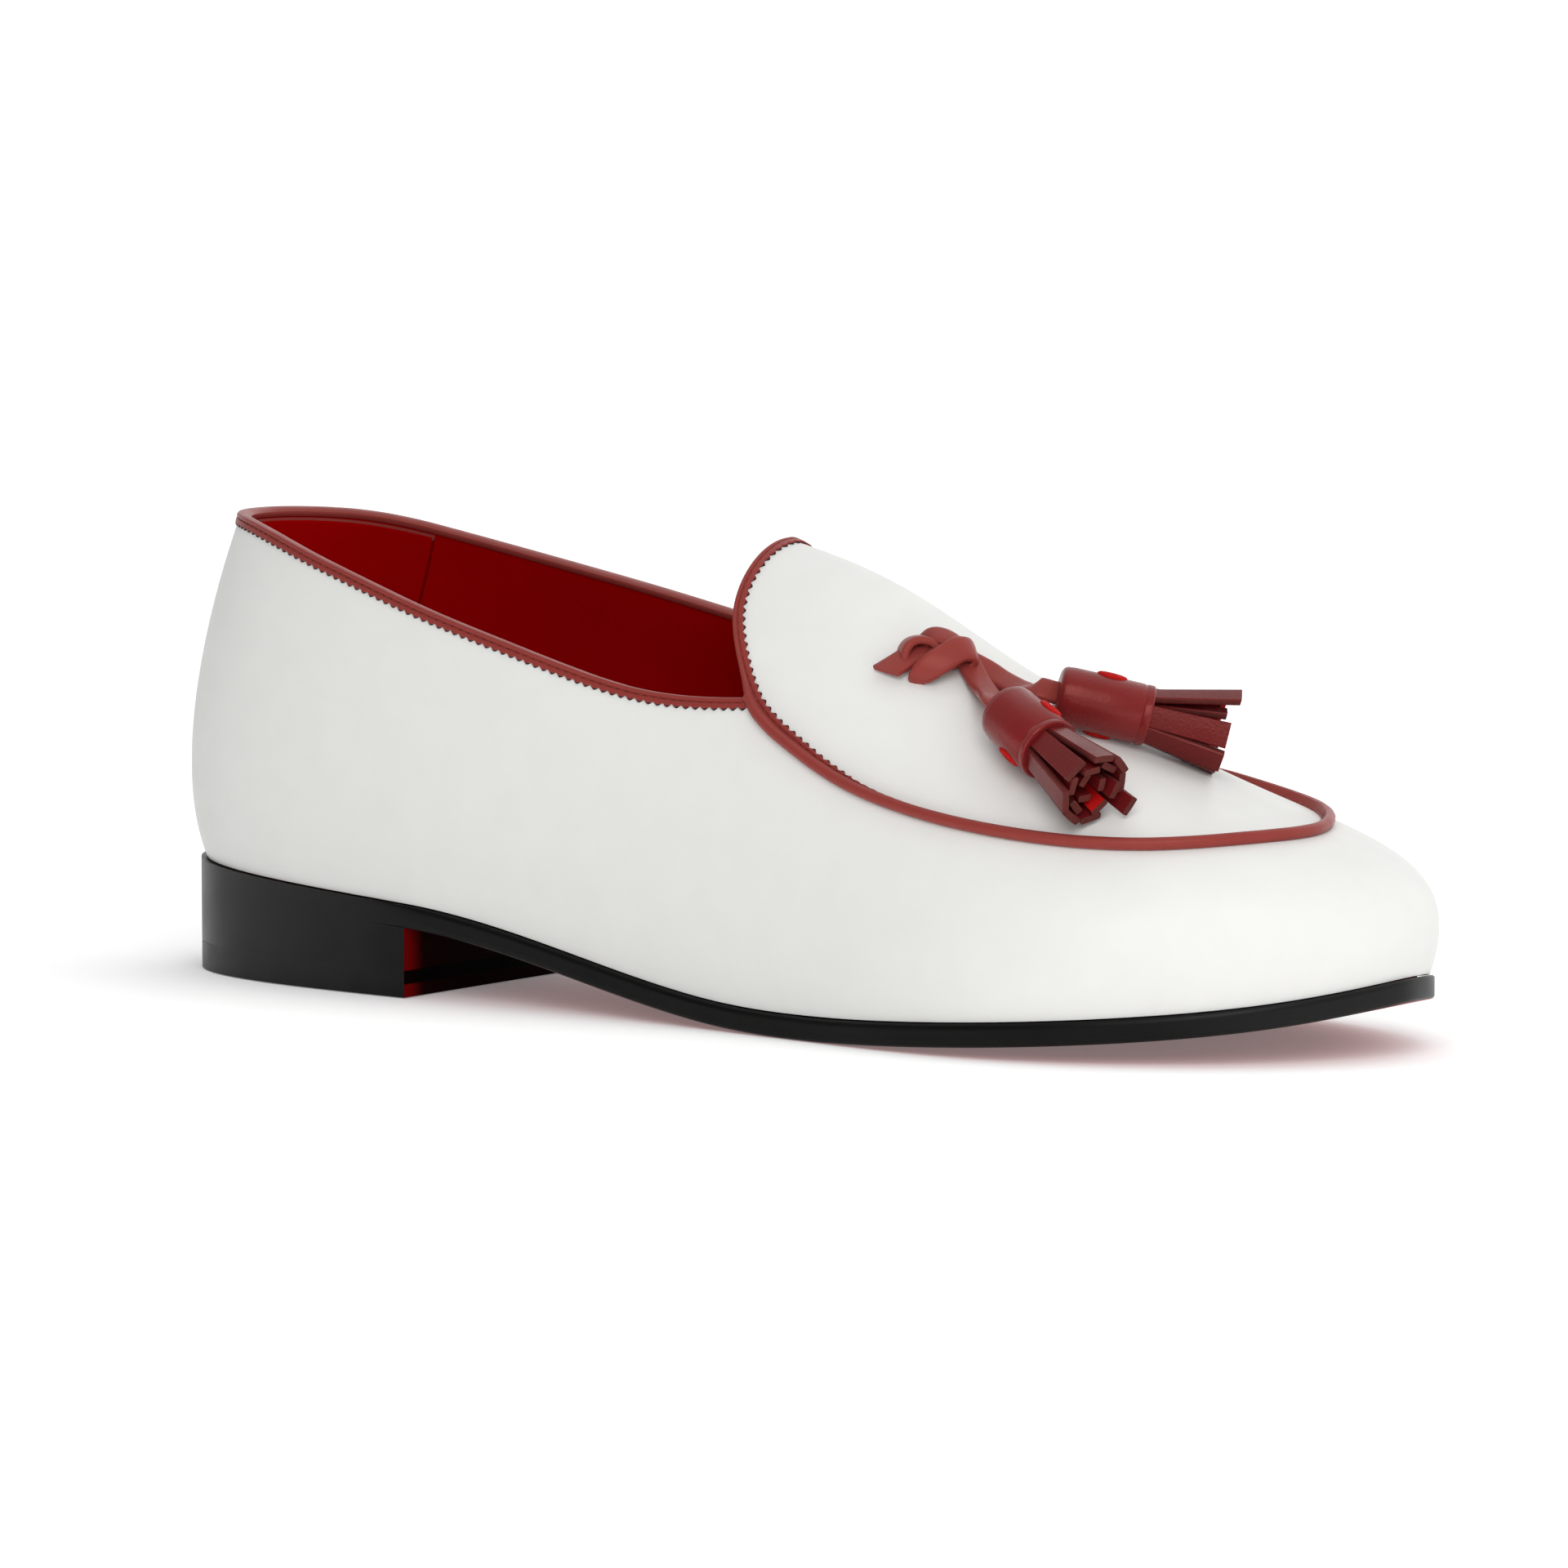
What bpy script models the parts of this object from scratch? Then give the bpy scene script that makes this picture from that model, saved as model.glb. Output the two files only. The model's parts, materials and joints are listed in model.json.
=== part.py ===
"""A right loafer on a slim round-toed last: sole, heel, upper, bindings and a tasselled thong.

Lengths are in millimetres and become metres when a mesh is made. The toe points along +X, the
inner (medial) side of the foot is +Y, and the shoe stands on the plane Z = 0. While it is drawn,
X counts from the back of the heel; the whole shoe is then moved so that its origin lies under the
middle of its box.
"""

import math

import bmesh
import bpy
import numpy as np
from mathutils import Vector

MM = 0.001
LATERAL, MEDIAL = -1.0, 1.0


def table(columns, *rows):
    """A small table as one array for each of its named columns."""
    return dict(zip(columns.split(), np.array(rows, float).T))


def places(rows, columns):
    """Some columns of a table side by side, one place for each row."""
    return np.stack([rows[name] for name in columns.split()], axis=-1)


# Driving sizes
SOLE_LENGTH = 294.5
SOLE_THICKNESS = 4.6
WELT = 1.0
HEEL_LENGTH = 77.0
TOPLIFT_THICKNESS = 5.6
SEAT_BACK = 19.6
SEAT_BREAST = 14.6
TREAD_START = 174.0
TREAD_END = 188.0
TREAD_ROLL = 7.6
TREAD_ROLL_POWER = 1.2
TOE_CURL = 3.6
TOE_CURL_POWER = 8
TOE_SWING = 9.5
WALL = 1.8
INSOLE_THICKNESS = 2.0
GAP = 0.3
SOLE_EDGE = 0.4
INSOLE_CLEARANCE = 0.6
BINDING_THICKNESS = 0.6
BINDING_BACK = 0.9
BINDING_BACK_STEPS = 6
TOPLINE_LEG = 2.2
TONGUE_LEG = 2.0
TOPLINE_STOP = 0.975
TONGUE_SKIP = 2
WELT_START = 0.008
WELT_END_SIZE = 0.5
WELT_TAPER_STEPS = 7

# Mesh steps
TURN_STEPS = 8
STRAIGHT_START = 40.0
STRAIGHT_END = 250.0
HEEL_STEPS = 4
SHANK_STEPS = 13
TREAD_STEPS = 2
FRONT_STEPS = 6
TOPLINE_STEPS = 20
TONGUE_STEPS = 19
TOE_CROWDING = 1.35
WALL_STEPS = 14
WALL_CROWDING = 1.5
PLUG_STEPS = 28
RIBBON_STEPS = 4
NEAR = 0.05
HALVINGS = 42
SAMPLES = 2000

# Colours
LEATHER_WHITE = (0.80, 0.80, 0.77)
LINING_RED = (0.15, 0.005, 0.006)
TRIM_RED = (0.25, 0.04, 0.04)
TASSEL_RED = (0.14, 0.014, 0.016)
SOLE_BLACK = (0.012, 0.012, 0.012)
RUBBER_BLACK = (0.02, 0.02, 0.02)

# The sole's outline: how far each side lies from the heel's centre line
OUTLINE = table(
    "along lateral medial",
    (8.0, 18.4, 18.6),
    (28.0, 29.2, 29.8),
    (55.0, 33.7, 33.7),
    (105.0, 36.2, 29.4),
    (150.0, 39.0, 28.4),
    (190.0, 43.8, 39.5),
    (215.0, 46.6, 47.0),
    (240.0, 43.8, 48.0),
    (264.0, 33.4, 42.2),
    (281.0, 19.9, 31.0),
)

# The last's crest, seen from the side. Behind the tongue it is only the line that the walls lean to.
CREST = table(
    "along height",
    (30.0, 128.0),
    (60.0, 126.0),
    (90.0, 120.0),
    (120.0, 109.5),
    (147.0, 96.3),
    (171.0, 89.5),
    (190.0, 78.8),
    (208.0, 68.7),
    (230.0, 59.2),
    (251.0, 49.2),
)

# How far the crest lies to the inner side of the heel's centre line
CREST_SWAY = table(
    "along across",
    (0.0, 0.0),
    (150.0, 1.0),
    (215.0, 4.0),
    (SOLE_LENGTH, TOE_SWING),
)

# The wall's sections fan out round the heel and the toe: how far in from the feather edge the first
# and the last of them meet the crest, and over what stretch of the sole the fan opens.
HEEL_FAN = 29.0
HEEL_REACH = 100.0
TOE_FAN = 45.0
TOE_REACH = 90.0

# The wall's section at stations along the feather edge: how far it leans out above the sole, how
# high it stays upright, and how flat it comes in under the crest.
SECTION = table(
    "along lean rise roof",
    (0.0, 14.5, 0.25, 0.38),
    (40.0, 7.0, 0.40, 0.70),
    (75.0, 6.0, 0.42, 0.75),
    (110.0, 6.0, 0.42, 0.72),
    (150.0, 7.0, 0.42, 0.62),
    (190.0, 7.0, 0.43, 0.55),
    (215.0, 7.5, 0.46, 0.54),
    (250.0, 9.5, 0.60, 0.52),
    (280.0, 11.3, 0.80, 0.51),
    (SOLE_LENGTH, 11.3, 0.80, 0.51),
)

# Height of the opening's edge on each side, and the stations between which its corners lie
CORNER_BETWEEN = (0.4, 0.56)
TOPLINE = table(
    "along lateral medial",
    (8.0, 97.8, 97.8),
    (26.0, 95.9, 96.2),
    (42.0, 91.6, 92.9),
    (60.0, 86.2, 89.2),
    (80.0, 80.1, 85.6),
    (100.0, 74.6, 82.2),
    (120.0, 69.3, 78.6),
    (136.0, 66.0, 75.8),
    (150.0, 65.1, 73.8),
    (166.0, 65.7, 73.0),
)

# The plug's edge in the chart, with its tips: it is the tongue's free edge behind the opening's
# corners and a seam in front of them.
TONGUE_TIP = (149.3, 0.7)
PLUG_TIP = (262.8, 4.5)
PLUG = table(
    "along lateral medial",
    (150.6, 10.9, 10.8),
    (155.4, 14.7, 13.9),
    (162.4, 18.2, 16.6),
    (178.0, 21.6, 20.0),
    (200.0, 22.7, 21.8),
    (220.0, 22.0, 21.5),
    (238.0, 18.8, 19.9),
    (250.0, 13.9, 17.9),
    (257.6, 8.0, 14.2),
)

# Section of the plug's welt: leftward and outward distances around a flat strip and a round cord
WELT_SECTION = table(
    "left out",
    (-2.5, 0.0),
    (1.7, 0.0),
    (1.7, 0.5),
    (0.1, 0.7),
    (-0.1, 1.4),
    (-0.5, 1.9),
    (-1.2, 2.1),
    (-1.9, 1.8),
    (-2.4, 1.1),
)

# The thong's knot: its place in the chart and its turn there, and for each strap the places of its
# middle (right, up, out) with the direction that its face looks in
KNOT_PLACE = (195.0, -6.5)
KNOT_TURN = 34.0
KNOT_CORE_PLACE = (0.5, 2.0, 2.6)
KNOT_CORE = (5.0, 3.6, 2.1)
KNOT_CORE_SIDES = 14
KNOT_CORE_RINGS = (-75.0, -40.0, 0.0, 40.0, 75.0)
STRAP_WIDTH = 4.6
STRAND_WIDTH = 4.4
THONG_THICKNESS = 1.4
THONG_CROWN = 0.6
THONG_EDGE = 0.4
KNOT_COLUMNS = "right up out face_right face_up face_out"
KNOT_STRAPS = {
    "tail": table(
        KNOT_COLUMNS,
        (-10.4, 0.6, 1.4, 0.0, 0.0, 1.0),
        (-7.4, 1.8, 2.0, 0.0, -0.1, 1.0),
        (-4.4, 2.8, 2.6, 0.0, -0.2, 1.0),
        (-1.0, 3.2, 2.8, 0.0, 0.0, 1.0),
    ),
    "left_loop": table(
        KNOT_COLUMNS,
        (-5.6, 1.6, 3.0, -0.9, -0.2, 0.5),
        (-5.6, 4.6, 3.4, -0.8, 0.5, 0.5),
        (-3.4, 6.0, 3.6, -0.2, 0.9, 0.5),
        (-0.6, 5.0, 3.4, 0.4, 0.8, 0.5),
    ),
    "upper_loop": table(
        KNOT_COLUMNS,
        (-2.0, 5.4, 3.2, -0.5, 0.5, 0.7),
        (0.4, 6.2, 4.8, 0.0, 0.6, 0.8),
        (2.8, 4.8, 5.0, 0.4, 0.4, 0.8),
        (4.4, 2.4, 3.4, 0.8, 0.2, 0.4),
    ),
    "front": table(
        KNOT_COLUMNS,
        (-3.2, -1.9, 1.5, -0.3, -0.7, 0.6),
        (-0.4, -0.3, 4.3, -0.2, -0.5, 0.8),
        (3.8, 2.4, 5.2, 0.1, -0.1, 1.0),
        (6.6, 2.8, 3.8, 0.8, 0.1, 0.6),
        (6.8, 1.8, 1.8, 1.0, 0.0, -0.1),
    ),
}

# The tassels' two ends, and the strands that run to them from the knot: place in the chart, height
PLACE_COLUMNS = "along across height"
TASSELS = {
    "lateral": table(PLACE_COLUMNS, (212.0, -9.0, 7.1), (240.8, -15.4, 8.6)),
    "medial": table(PLACE_COLUMNS, (219.4, -2.6, 6.7), (243.8, 9.0, 8.2)),
}
STRANDS = {
    "lateral": table(PLACE_COLUMNS, (198.4, -3.6, 2.0), (202.0, -4.6, 1.6), (206.0, -6.0, 3.6)),
    "medial": table(PLACE_COLUMNS, (198.8, -2.8, 2.0), (205.0, -2.6, 1.6), (211.5, -3.4, 3.6)),
}
TASSEL_GIRTH = {"lateral": 1.06, "medial": 0.97}
STRAND_GAP = 0.9
STRAND_LEAD = 3.0
COLLAR_LENGTH = 16.5
COLLAR_SIDES = 18
TASSEL_PROFILE = table(
    "along radius",
    (0.0, 3.6),
    (0.4, 5.4),
    (1.6, 6.1),
    (15.9, 6.2),
    (16.5, 5.8),
    (16.5, 4.2),
    (26.0, 3.2),
)
STRIP_THICKNESS = 1.1
STRIP_SHORTER_BY = (0.0, 1.6, 0.4, 2.0, 0.8, 2.4, 1.2, 0.0, 1.6)
STRIP_PROFILE = table(
    "share radius width",
    (-0.15, 4.6, 2.6),
    (0.1, 5.0, 2.9),
    (0.55, 6.0, 3.3),
    (1.0, 6.9, 3.6),
)


def spline(knots, values, closed=False):
    """A cubic through the values that bends as little as it can, as a function of the knot value."""
    knots = np.asarray(knots, float)
    values = np.asarray(values, float)
    count = len(knots)
    step = np.diff(knots)
    matrix = np.zeros((count, count))
    right = np.zeros((count,) + values.shape[1:])
    slope = np.diff(values, axis=0) / step.reshape((-1,) + (1,) * (values.ndim - 1))
    for i in range(1, count - 1):
        matrix[i, i - 1 : i + 2] = step[i - 1], 2 * (step[i - 1] + step[i]), step[i]
        right[i] = 6 * (slope[i] - slope[i - 1])
    matrix[0, 0] = matrix[-1, -1] = 1.0
    if closed:
        matrix[0, -1] = -1.0
        matrix[-1, :2] = 2 * step[0], step[0]
        matrix[-1, -2:] = step[-1], 2 * step[-1]
        right[-1] = 6 * (slope[0] - slope[-1])
    bend = np.linalg.solve(matrix, right)

    def at(x):
        x = np.clip(np.asarray(x, float), knots[0], knots[-1])
        i = np.clip(np.searchsorted(knots, x, side="right") - 1, 0, count - 2)
        shape = x.shape + (1,) * (values.ndim - 1)
        h = step[i].reshape(shape)
        a = (knots[i + 1] - x).reshape(shape) / h
        b = 1 - a
        curve = ((a**3 - a) * bend[i] + (b**3 - b) * bend[i + 1]) * h**2 / 6
        return a * values[i] + b * values[i + 1] + curve

    return at


# Sole outline and heights


def outline_from(rows, rear, front):
    """A closed outline through table rows and its two tips, as a function of side, share and inset.

    The share runs along either side, from 0 at the rear tip to 1 at the front tip.
    """
    lateral = places(rows, "along lateral") * (1.0, LATERAL)
    medial = places(rows, "along medial")[::-1]
    points = np.concatenate([[rear], lateral, [front], medial, [rear]])
    chords = np.concatenate([[0.0], np.cumsum(np.linalg.norm(np.diff(points, axis=0), axis=1))])
    curve = spline(chords, points, closed=True)
    half, full = chords[len(lateral) + 1], chords[-1]

    def at(side, share, inset=0.0):
        share = np.asarray(share, float)
        chord = np.where(np.asarray(side) < 0, share * half, full - share * (full - half))
        turn = curve(np.mod(chord + NEAR, full)) - curve(np.mod(chord - NEAR, full))
        turn /= np.linalg.norm(turn, axis=-1, keepdims=True)
        inward = np.stack([-turn[..., 1], turn[..., 0]], axis=-1)
        return curve(chord) + inset * inward

    return at


outline = outline_from(OUTLINE, (0.0, 0.0), (SOLE_LENGTH, TOE_SWING))
plug_edge = outline_from(PLUG, TONGUE_TIP, PLUG_TIP)


def sole_bottom(x):
    """Height of the sole's underside: the heel seat, the arch, a flat tread and the toe spring."""
    x = np.asarray(x, float)
    seat_slope = (SEAT_BREAST - SEAT_BACK) / HEEL_LENGTH
    seat = SEAT_BACK + seat_slope * x
    span = TREAD_START - HEEL_LENGTH
    u = np.clip((x - HEEL_LENGTH) / span, 0, 1)
    arch = SEAT_BREAST * (2 * u**3 - 3 * u**2 + 1) + seat_slope * span * (u**3 - 2 * u**2 + u)
    toe = np.clip((x - TREAD_END) / (SOLE_LENGTH - TREAD_END), 0, None)
    spring = TREAD_ROLL * toe**TREAD_ROLL_POWER + TOE_CURL * toe**TOE_CURL_POWER
    return np.where(x < HEEL_LENGTH, seat, arch) + spring


def sole_top(x):
    """Height of the sole's upper face."""
    return sole_bottom(x) + SOLE_THICKNESS


# The last's surface, drawn over a flat chart of the foot seen from above


def along_table(rows, name):
    """One column of a table as a smooth function of the distance along the shoe."""
    return spline(rows["along"], rows[name])


crest_height = along_table(CREST, "height")
crest_sway = along_table(CREST_SWAY, "across")
lean, rise, roof = (along_table(SECTION, name) for name in ("lean", "rise", "roof"))


def crest_along(x):
    """Where on the crest the section from a feather point at x ends; it fans out at both ends."""
    rear, front = WELT, SOLE_LENGTH - WELT
    heel = np.clip((x - rear) / HEEL_REACH, 0, 1)
    toe = np.clip((front - x) / TOE_REACH, 0, 1)
    from_heel = rear + HEEL_FAN + (HEEL_REACH - HEEL_FAN) * heel**2
    from_toe = front - TOE_FAN - (TOE_REACH - TOE_FAN) * toe**2
    return np.where(heel < 1, from_heel, np.where(toe < 1, from_toe, x))


def feather(side, f):
    """The edge where the wall leaves the sole, in the chart."""
    return outline(side, f, WELT)


def crest(x):
    """A point of the crest in the chart."""
    return np.stack([x, crest_sway(x)], axis=-1)


def centre(x):
    """The chart's line between the sides: the crest, and the first and last sections beyond its ends."""
    heel, toe = feather(LATERAL, 0.0), feather(LATERAL, 1.0)
    rear, front = WELT + HEEL_FAN, SOLE_LENGTH - WELT - TOE_FAN
    behind = np.interp(x, (heel[0], rear), (heel[1], crest_sway(rear)))
    ahead = np.interp(x, (front, toe[0]), (crest_sway(front), toe[1]))
    return np.where(x < rear, behind, np.where(x > front, ahead, crest_sway(x)))


def chart_to_section(q):
    """The side, the station f and the share t of the way to the crest for points of the chart."""
    q = np.asarray(q, float)
    side = np.where(q[..., 1] < centre(q[..., 0]), LATERAL, MEDIAL)
    low, high = np.zeros(side.shape), np.ones(side.shape)
    for _ in range(HALVINGS):
        f = (low + high) / 2
        foot = feather(side, f)
        inward = crest(crest_along(foot[..., 0])) - foot
        away = q - foot
        ahead = side * (inward[..., 0] * away[..., 1] - inward[..., 1] * away[..., 0]) > 0
        low, high = np.where(ahead, f, low), np.where(ahead, high, f)
    t = (away * inward).sum(-1) / (inward**2).sum(-1)
    return side, f, t


def section_point(side, f, t):
    """The point of the last at share t of the way from the feather edge to the crest."""
    foot = feather(side, f)
    x = foot[..., 0]
    top_x = crest_along(x)
    top = crest(top_x)
    inward = top - foot
    reach = np.linalg.norm(inward, axis=-1)
    inward /= reach[..., None]
    base = sole_top(x) + GAP
    height = crest_height(top_x) - base
    slope = (crest_height(top_x + NEAR) - crest_height(top_x - NEAR)) / (2 * NEAR)
    flat = roof(x) * reach
    out = np.stack([0 * x, -lean(x), reach - flat, reach])
    up = np.stack([0 * x, rise(x) * height, height - slope * inward[..., 0] * flat, height])
    weight = np.stack([(1 - t) ** 3, 3 * t * (1 - t) ** 2, 3 * t**2 * (1 - t), t**3])
    plan = foot + (out * weight).sum(0)[..., None] * inward
    return np.concatenate([plan, (base + (up * weight).sum(0))[..., None]], axis=-1)


def last(q):
    """The point of the last over a point of the chart."""
    return section_point(*chart_to_section(q))


def last_normal(q):
    """The last's outward direction over a point of the chart."""
    ahead, aside = np.array([NEAR, 0.0]), np.array([0.0, NEAR])
    along = last(q + ahead) - last(q - ahead)
    across = last(q + aside) - last(q - aside)
    normal = np.cross(along, across)
    return normal / np.linalg.norm(normal, axis=-1, keepdims=True)


# The opening's edge


topline_height = {LATERAL: along_table(TOPLINE, "lateral"), MEDIAL: along_table(TOPLINE, "medial")}


def chart_point(side, f, t):
    """The chart's point at share t of a section."""
    foot = feather(side, f)
    return (1 - t)[..., None] * foot + t[..., None] * crest(crest_along(foot[..., 0]))


def topline(side, f):
    """The opening's edge in the chart: each section is cut at the topline's height."""
    f = np.asarray(f, float)
    low, high = np.zeros(f.shape), np.ones(f.shape)
    for _ in range(HALVINGS):
        t = (low + high) / 2
        point = section_point(side, f, t)
        below = point[..., 2] < topline_height[side](point[..., 0])
        low, high = np.where(below, t, low), np.where(below, high, t)
    return chart_point(side, f, t)


def corner_shares(side):
    """Where the topline meets the plug's edge: the station f and the share along the plug's edge."""
    edge_share = np.linspace(0, 0.5, SAMPLES)
    edge = plug_edge(side, edge_share)
    stations = np.linspace(*CORNER_BETWEEN, SAMPLES)
    line = topline(side, stations)
    reach = np.interp(line[:, 0], edge[:, 0], np.abs(edge[:, 1]), left=0.0)
    inside = np.abs(line[:, 1]) < reach
    first = int(np.argmax(inside))
    nearest = np.argmin(np.linalg.norm(edge - line[first], axis=1))
    return stations[first], edge_share[nearest]


# Meshes


def clear_scene():
    """Remove every object that the new file came with."""
    for thing in list(bpy.data.objects):
        bpy.data.objects.remove(thing, do_unlink=True)


def make_material(name, colour, roughness):
    """A plain material in one colour."""
    material = bpy.data.materials.new(name)
    material.use_nodes = True
    shader = material.node_tree.nodes["Principled BSDF"]
    shader.inputs["Base Color"].default_value = (*colour, 1.0)
    shader.inputs["Roughness"].default_value = roughness
    return material


def make_object(name, points, faces, colour, roughness=0.5):
    """An object from points in millimetres and faces, with its faces turned outward."""
    mesh = bpy.data.meshes.new(name)
    mesh.from_pydata([Vector(p) * MM for p in points], [], faces)
    shape = bmesh.new()
    shape.from_mesh(mesh)
    bmesh.ops.recalc_face_normals(shape, faces=shape.faces)
    shape.to_mesh(mesh)
    shape.free()
    mesh.materials.append(make_material(name, colour, roughness))
    thing = bpy.data.objects.new(name, mesh)
    bpy.context.collection.objects.link(thing)
    return thing


def bridge(loops, around):
    """Faces that join each loop of points to the next, and the last to the first if it goes around."""
    rows, count = len(loops), len(loops[0])
    faces = []
    for k in range(rows if around else rows - 1):
        here, there = k * count, (k + 1) % rows * count
        for i in range(count):
            j = (i + 1) % count
            faces.append((here + i, here + j, there + j, there + i))
    return faces


def make_tube(name, loops, colour, roughness=0.5):
    """A solid swept through planar loops and closed flat at both ends."""
    count = len(loops[0])
    last_loop = (len(loops) - 1) * count
    ends = [tuple(range(count)), tuple(range(last_loop, last_loop + count))]
    return make_object(name, np.concatenate(loops), bridge(loops, False) + ends, colour, roughness)


def make_plate(name, loops, pointed, colour, roughness=0.5):
    """A flat solid between loops that run out along one side and back along the other.

    Its two faces are closed by rungs from side to side. A pointed plate ends in one point in front.
    """
    count = len(loops[0])
    rungs = []
    for i in range(count // 2 if pointed else (count - 1) // 2):
        corners = (i, i + 1, count - i - 1, (count - i) % count)
        rungs.append(tuple(dict.fromkeys(corners)))
    last_loop = (len(loops) - 1) * count
    caps = rungs + [tuple(last_loop + i for i in rung) for rung in rungs]
    return make_object(name, np.concatenate(loops), bridge(loops, False) + caps, colour, roughness)


def outline_stations():
    """Distances along the sole that crowd where its outline turns and meet the tread's two ends."""
    turn = np.linspace(0, np.pi / 2, TURN_STEPS + 1)
    heel = STRAIGHT_START * (1 - np.cos(turn))
    toe = STRAIGHT_END + (SOLE_LENGTH - STRAIGHT_END) * np.sin(turn)
    shank = np.linspace(STRAIGHT_START, TREAD_START, SHANK_STEPS + 1)[1:-1]
    tread = np.linspace(TREAD_START, TREAD_END, TREAD_STEPS + 1)
    front = np.linspace(TREAD_END, STRAIGHT_END, FRONT_STEPS + 1)[1:-1]
    return np.concatenate([heel, shank, tread, front, toe])


def heel_stations():
    """Distances along the heel, from its back to its breast."""
    turn = np.linspace(0, np.pi / 2, TURN_STEPS + 1)
    heel = STRAIGHT_START * (1 - np.cos(turn))
    return np.concatenate([heel, np.linspace(STRAIGHT_START, HEEL_LENGTH, HEEL_STEPS + 1)[1:]])


def outline_loop(xs, inset, height):
    """A loop of points at the given distances along the outline, lifted by a height function.

    A loop that reaches the toe meets there in one point. A shorter one ends in a straight edge.
    """
    share = np.linspace(0, 1, SAMPLES)
    pointed = xs[-1] == SOLE_LENGTH
    halves = []
    for side in (LATERAL, MEDIAL):
        line = outline(side, share, inset)
        front = line[-1, 0] if pointed else xs[-1]
        x = line[0, 0] + xs * (front - line[0, 0]) / xs[-1]
        halves.append(np.stack([x, np.interp(x, line[:, 0], line[:, 1])], axis=-1))
    lateral, medial = halves
    medial = medial[1:-1] if pointed else medial[1:]
    plan = np.concatenate([lateral, medial[::-1]])
    return np.concatenate([plan, height(plan[:, 0])[:, None]], axis=-1)


def make_outline_plate(name, xs, rows, colour, roughness=0.5):
    """A plate over the outline from rows of inset and height function, listed from the top down."""
    loops = [outline_loop(xs, inset, height) for inset, height in rows]
    return make_plate(name, loops, xs[-1] == SOLE_LENGTH, colour, roughness)


def make_sole():
    """The outsole, the heel stack, the heel's top lift and the insole."""

    def level(height):
        return lambda x: np.full(np.shape(x), height)

    def over_bottom(height):
        return lambda x: sole_bottom(x) + height

    edge = SOLE_EDGE
    sole = SOLE_THICKNESS
    rows = [(edge, over_bottom(sole)), (0.0, over_bottom(sole - edge))]
    rows += [(0.0, over_bottom(edge)), (edge, over_bottom(0.0))]
    make_outline_plate("outsole", outline_stations(), rows, SOLE_BLACK, 0.35)

    lift = TOPLIFT_THICKNESS
    rows = [(edge, over_bottom(-GAP)), (0.0, over_bottom(-GAP - edge))]
    rows += [(0.0, level(lift + GAP + edge)), (edge, level(lift + GAP))]
    make_outline_plate("heel_stack", heel_stations(), rows, SOLE_BLACK, 0.35)

    rows = [(edge, level(lift)), (0.0, level(lift - edge))]
    rows += [(0.0, level(edge)), (edge, level(0.0))]
    make_outline_plate("heel_toplift", heel_stations(), rows, RUBBER_BLACK, 0.6)

    inset = WELT + WALL + INSOLE_CLEARANCE
    bottom = sole + GAP
    rows = [(inset, over_bottom(bottom + INSOLE_THICKNESS)), (inset, over_bottom(bottom))]
    make_outline_plate("insole", outline_stations(), rows, LINING_RED)


# Upper and bindings


def mouth_half(side):
    """Half of the opening's edge in the chart, from the heel to the tongue's tip.

    Also gives the feather point below each of its points; they crowd towards the toe.
    """
    corner_f, corner_share = corner_shares(side)
    rear = np.linspace(0, corner_f, TOPLINE_STEPS + 1)
    front = 1 - (1 - corner_f) * np.linspace(1, 0, TONGUE_STEPS + 1)[1:] ** TOE_CROWDING
    tongue = plug_edge(side, np.linspace(corner_share, 0, TONGUE_STEPS + 1)[1:])
    return np.concatenate([topline(side, rear), tongue]), feather(side, np.concatenate([rear, front]))


def whole_loop(lateral, medial):
    """One closed loop out of two halves that share their first and last points."""
    return np.concatenate([lateral, medial[-2:0:-1]])


def make_upper():
    """The upper: a wall of even thickness over the last, open at the mouth and underneath."""
    lateral_mouth, lateral_foot = mouth_half(LATERAL)
    medial_mouth, medial_foot = mouth_half(MEDIAL)
    mouth = whole_loop(lateral_mouth, medial_mouth)
    foot = whole_loop(lateral_foot, medial_foot)
    outer, inner = [], []
    for share in np.linspace(0, 1, WALL_STEPS + 1) ** WALL_CROWDING:
        q = (1 - share) * foot + share * mouth
        point = last(q)
        outer.append(point)
        inner.append(point - WALL * last_normal(q))
    loops = outer + inner[::-1]
    make_object("upper", np.concatenate(loops), bridge(loops, True), LEATHER_WHITE)


def edge_frames(q):
    """Points of the last along a line in the chart, with the outward and leftward directions there.

    Leftward lies in the surface, to the left of someone walking the line outside it.
    """
    point, normal = last(q), last_normal(q)
    forward = np.gradient(point, axis=0)
    left = np.cross(normal, forward)
    return point, normal, left / np.linalg.norm(left, axis=-1, keepdims=True)


def section_loops(frames, section, widths, heights):
    """Loops of one section, given as left and outward distances, along a line of frames."""
    loops = []
    for point, normal, left, wide, high in zip(*frames, widths, heights):
        loops.append(point + np.outer(section[:, 0] * wide, left) + np.outer(section[:, 1] * high, normal))
    return loops


def channel_section(leg):
    """A binding folded over the wall's edge, with a rounded back and two legs."""
    skin, gap = BINDING_THICKNESS, GAP
    outside, inside = gap, -WALL - gap
    middle, radius = (outside + inside) / 2, (outside - inside) / 2 + skin
    turn = np.linspace(0, np.pi, BINDING_BACK_STEPS + 1)
    back = np.stack([gap + BINDING_BACK * np.sin(turn), middle + radius * np.cos(turn)], axis=-1)
    outer = [(-leg, outside), (-leg, outside + skin)]
    inner = [(-leg, inside - skin), (-leg, inside), (gap, inside), (gap, outside)]
    return np.array(outer + back.tolist() + inner)


def make_channel(name, q, leg):
    """A binding over the wall's edge along a line in the chart that has the mouth on its left."""
    ones = np.ones(len(q))
    make_tube(name, section_loops(edge_frames(q), channel_section(leg), ones, ones), TRIM_RED)


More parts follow.
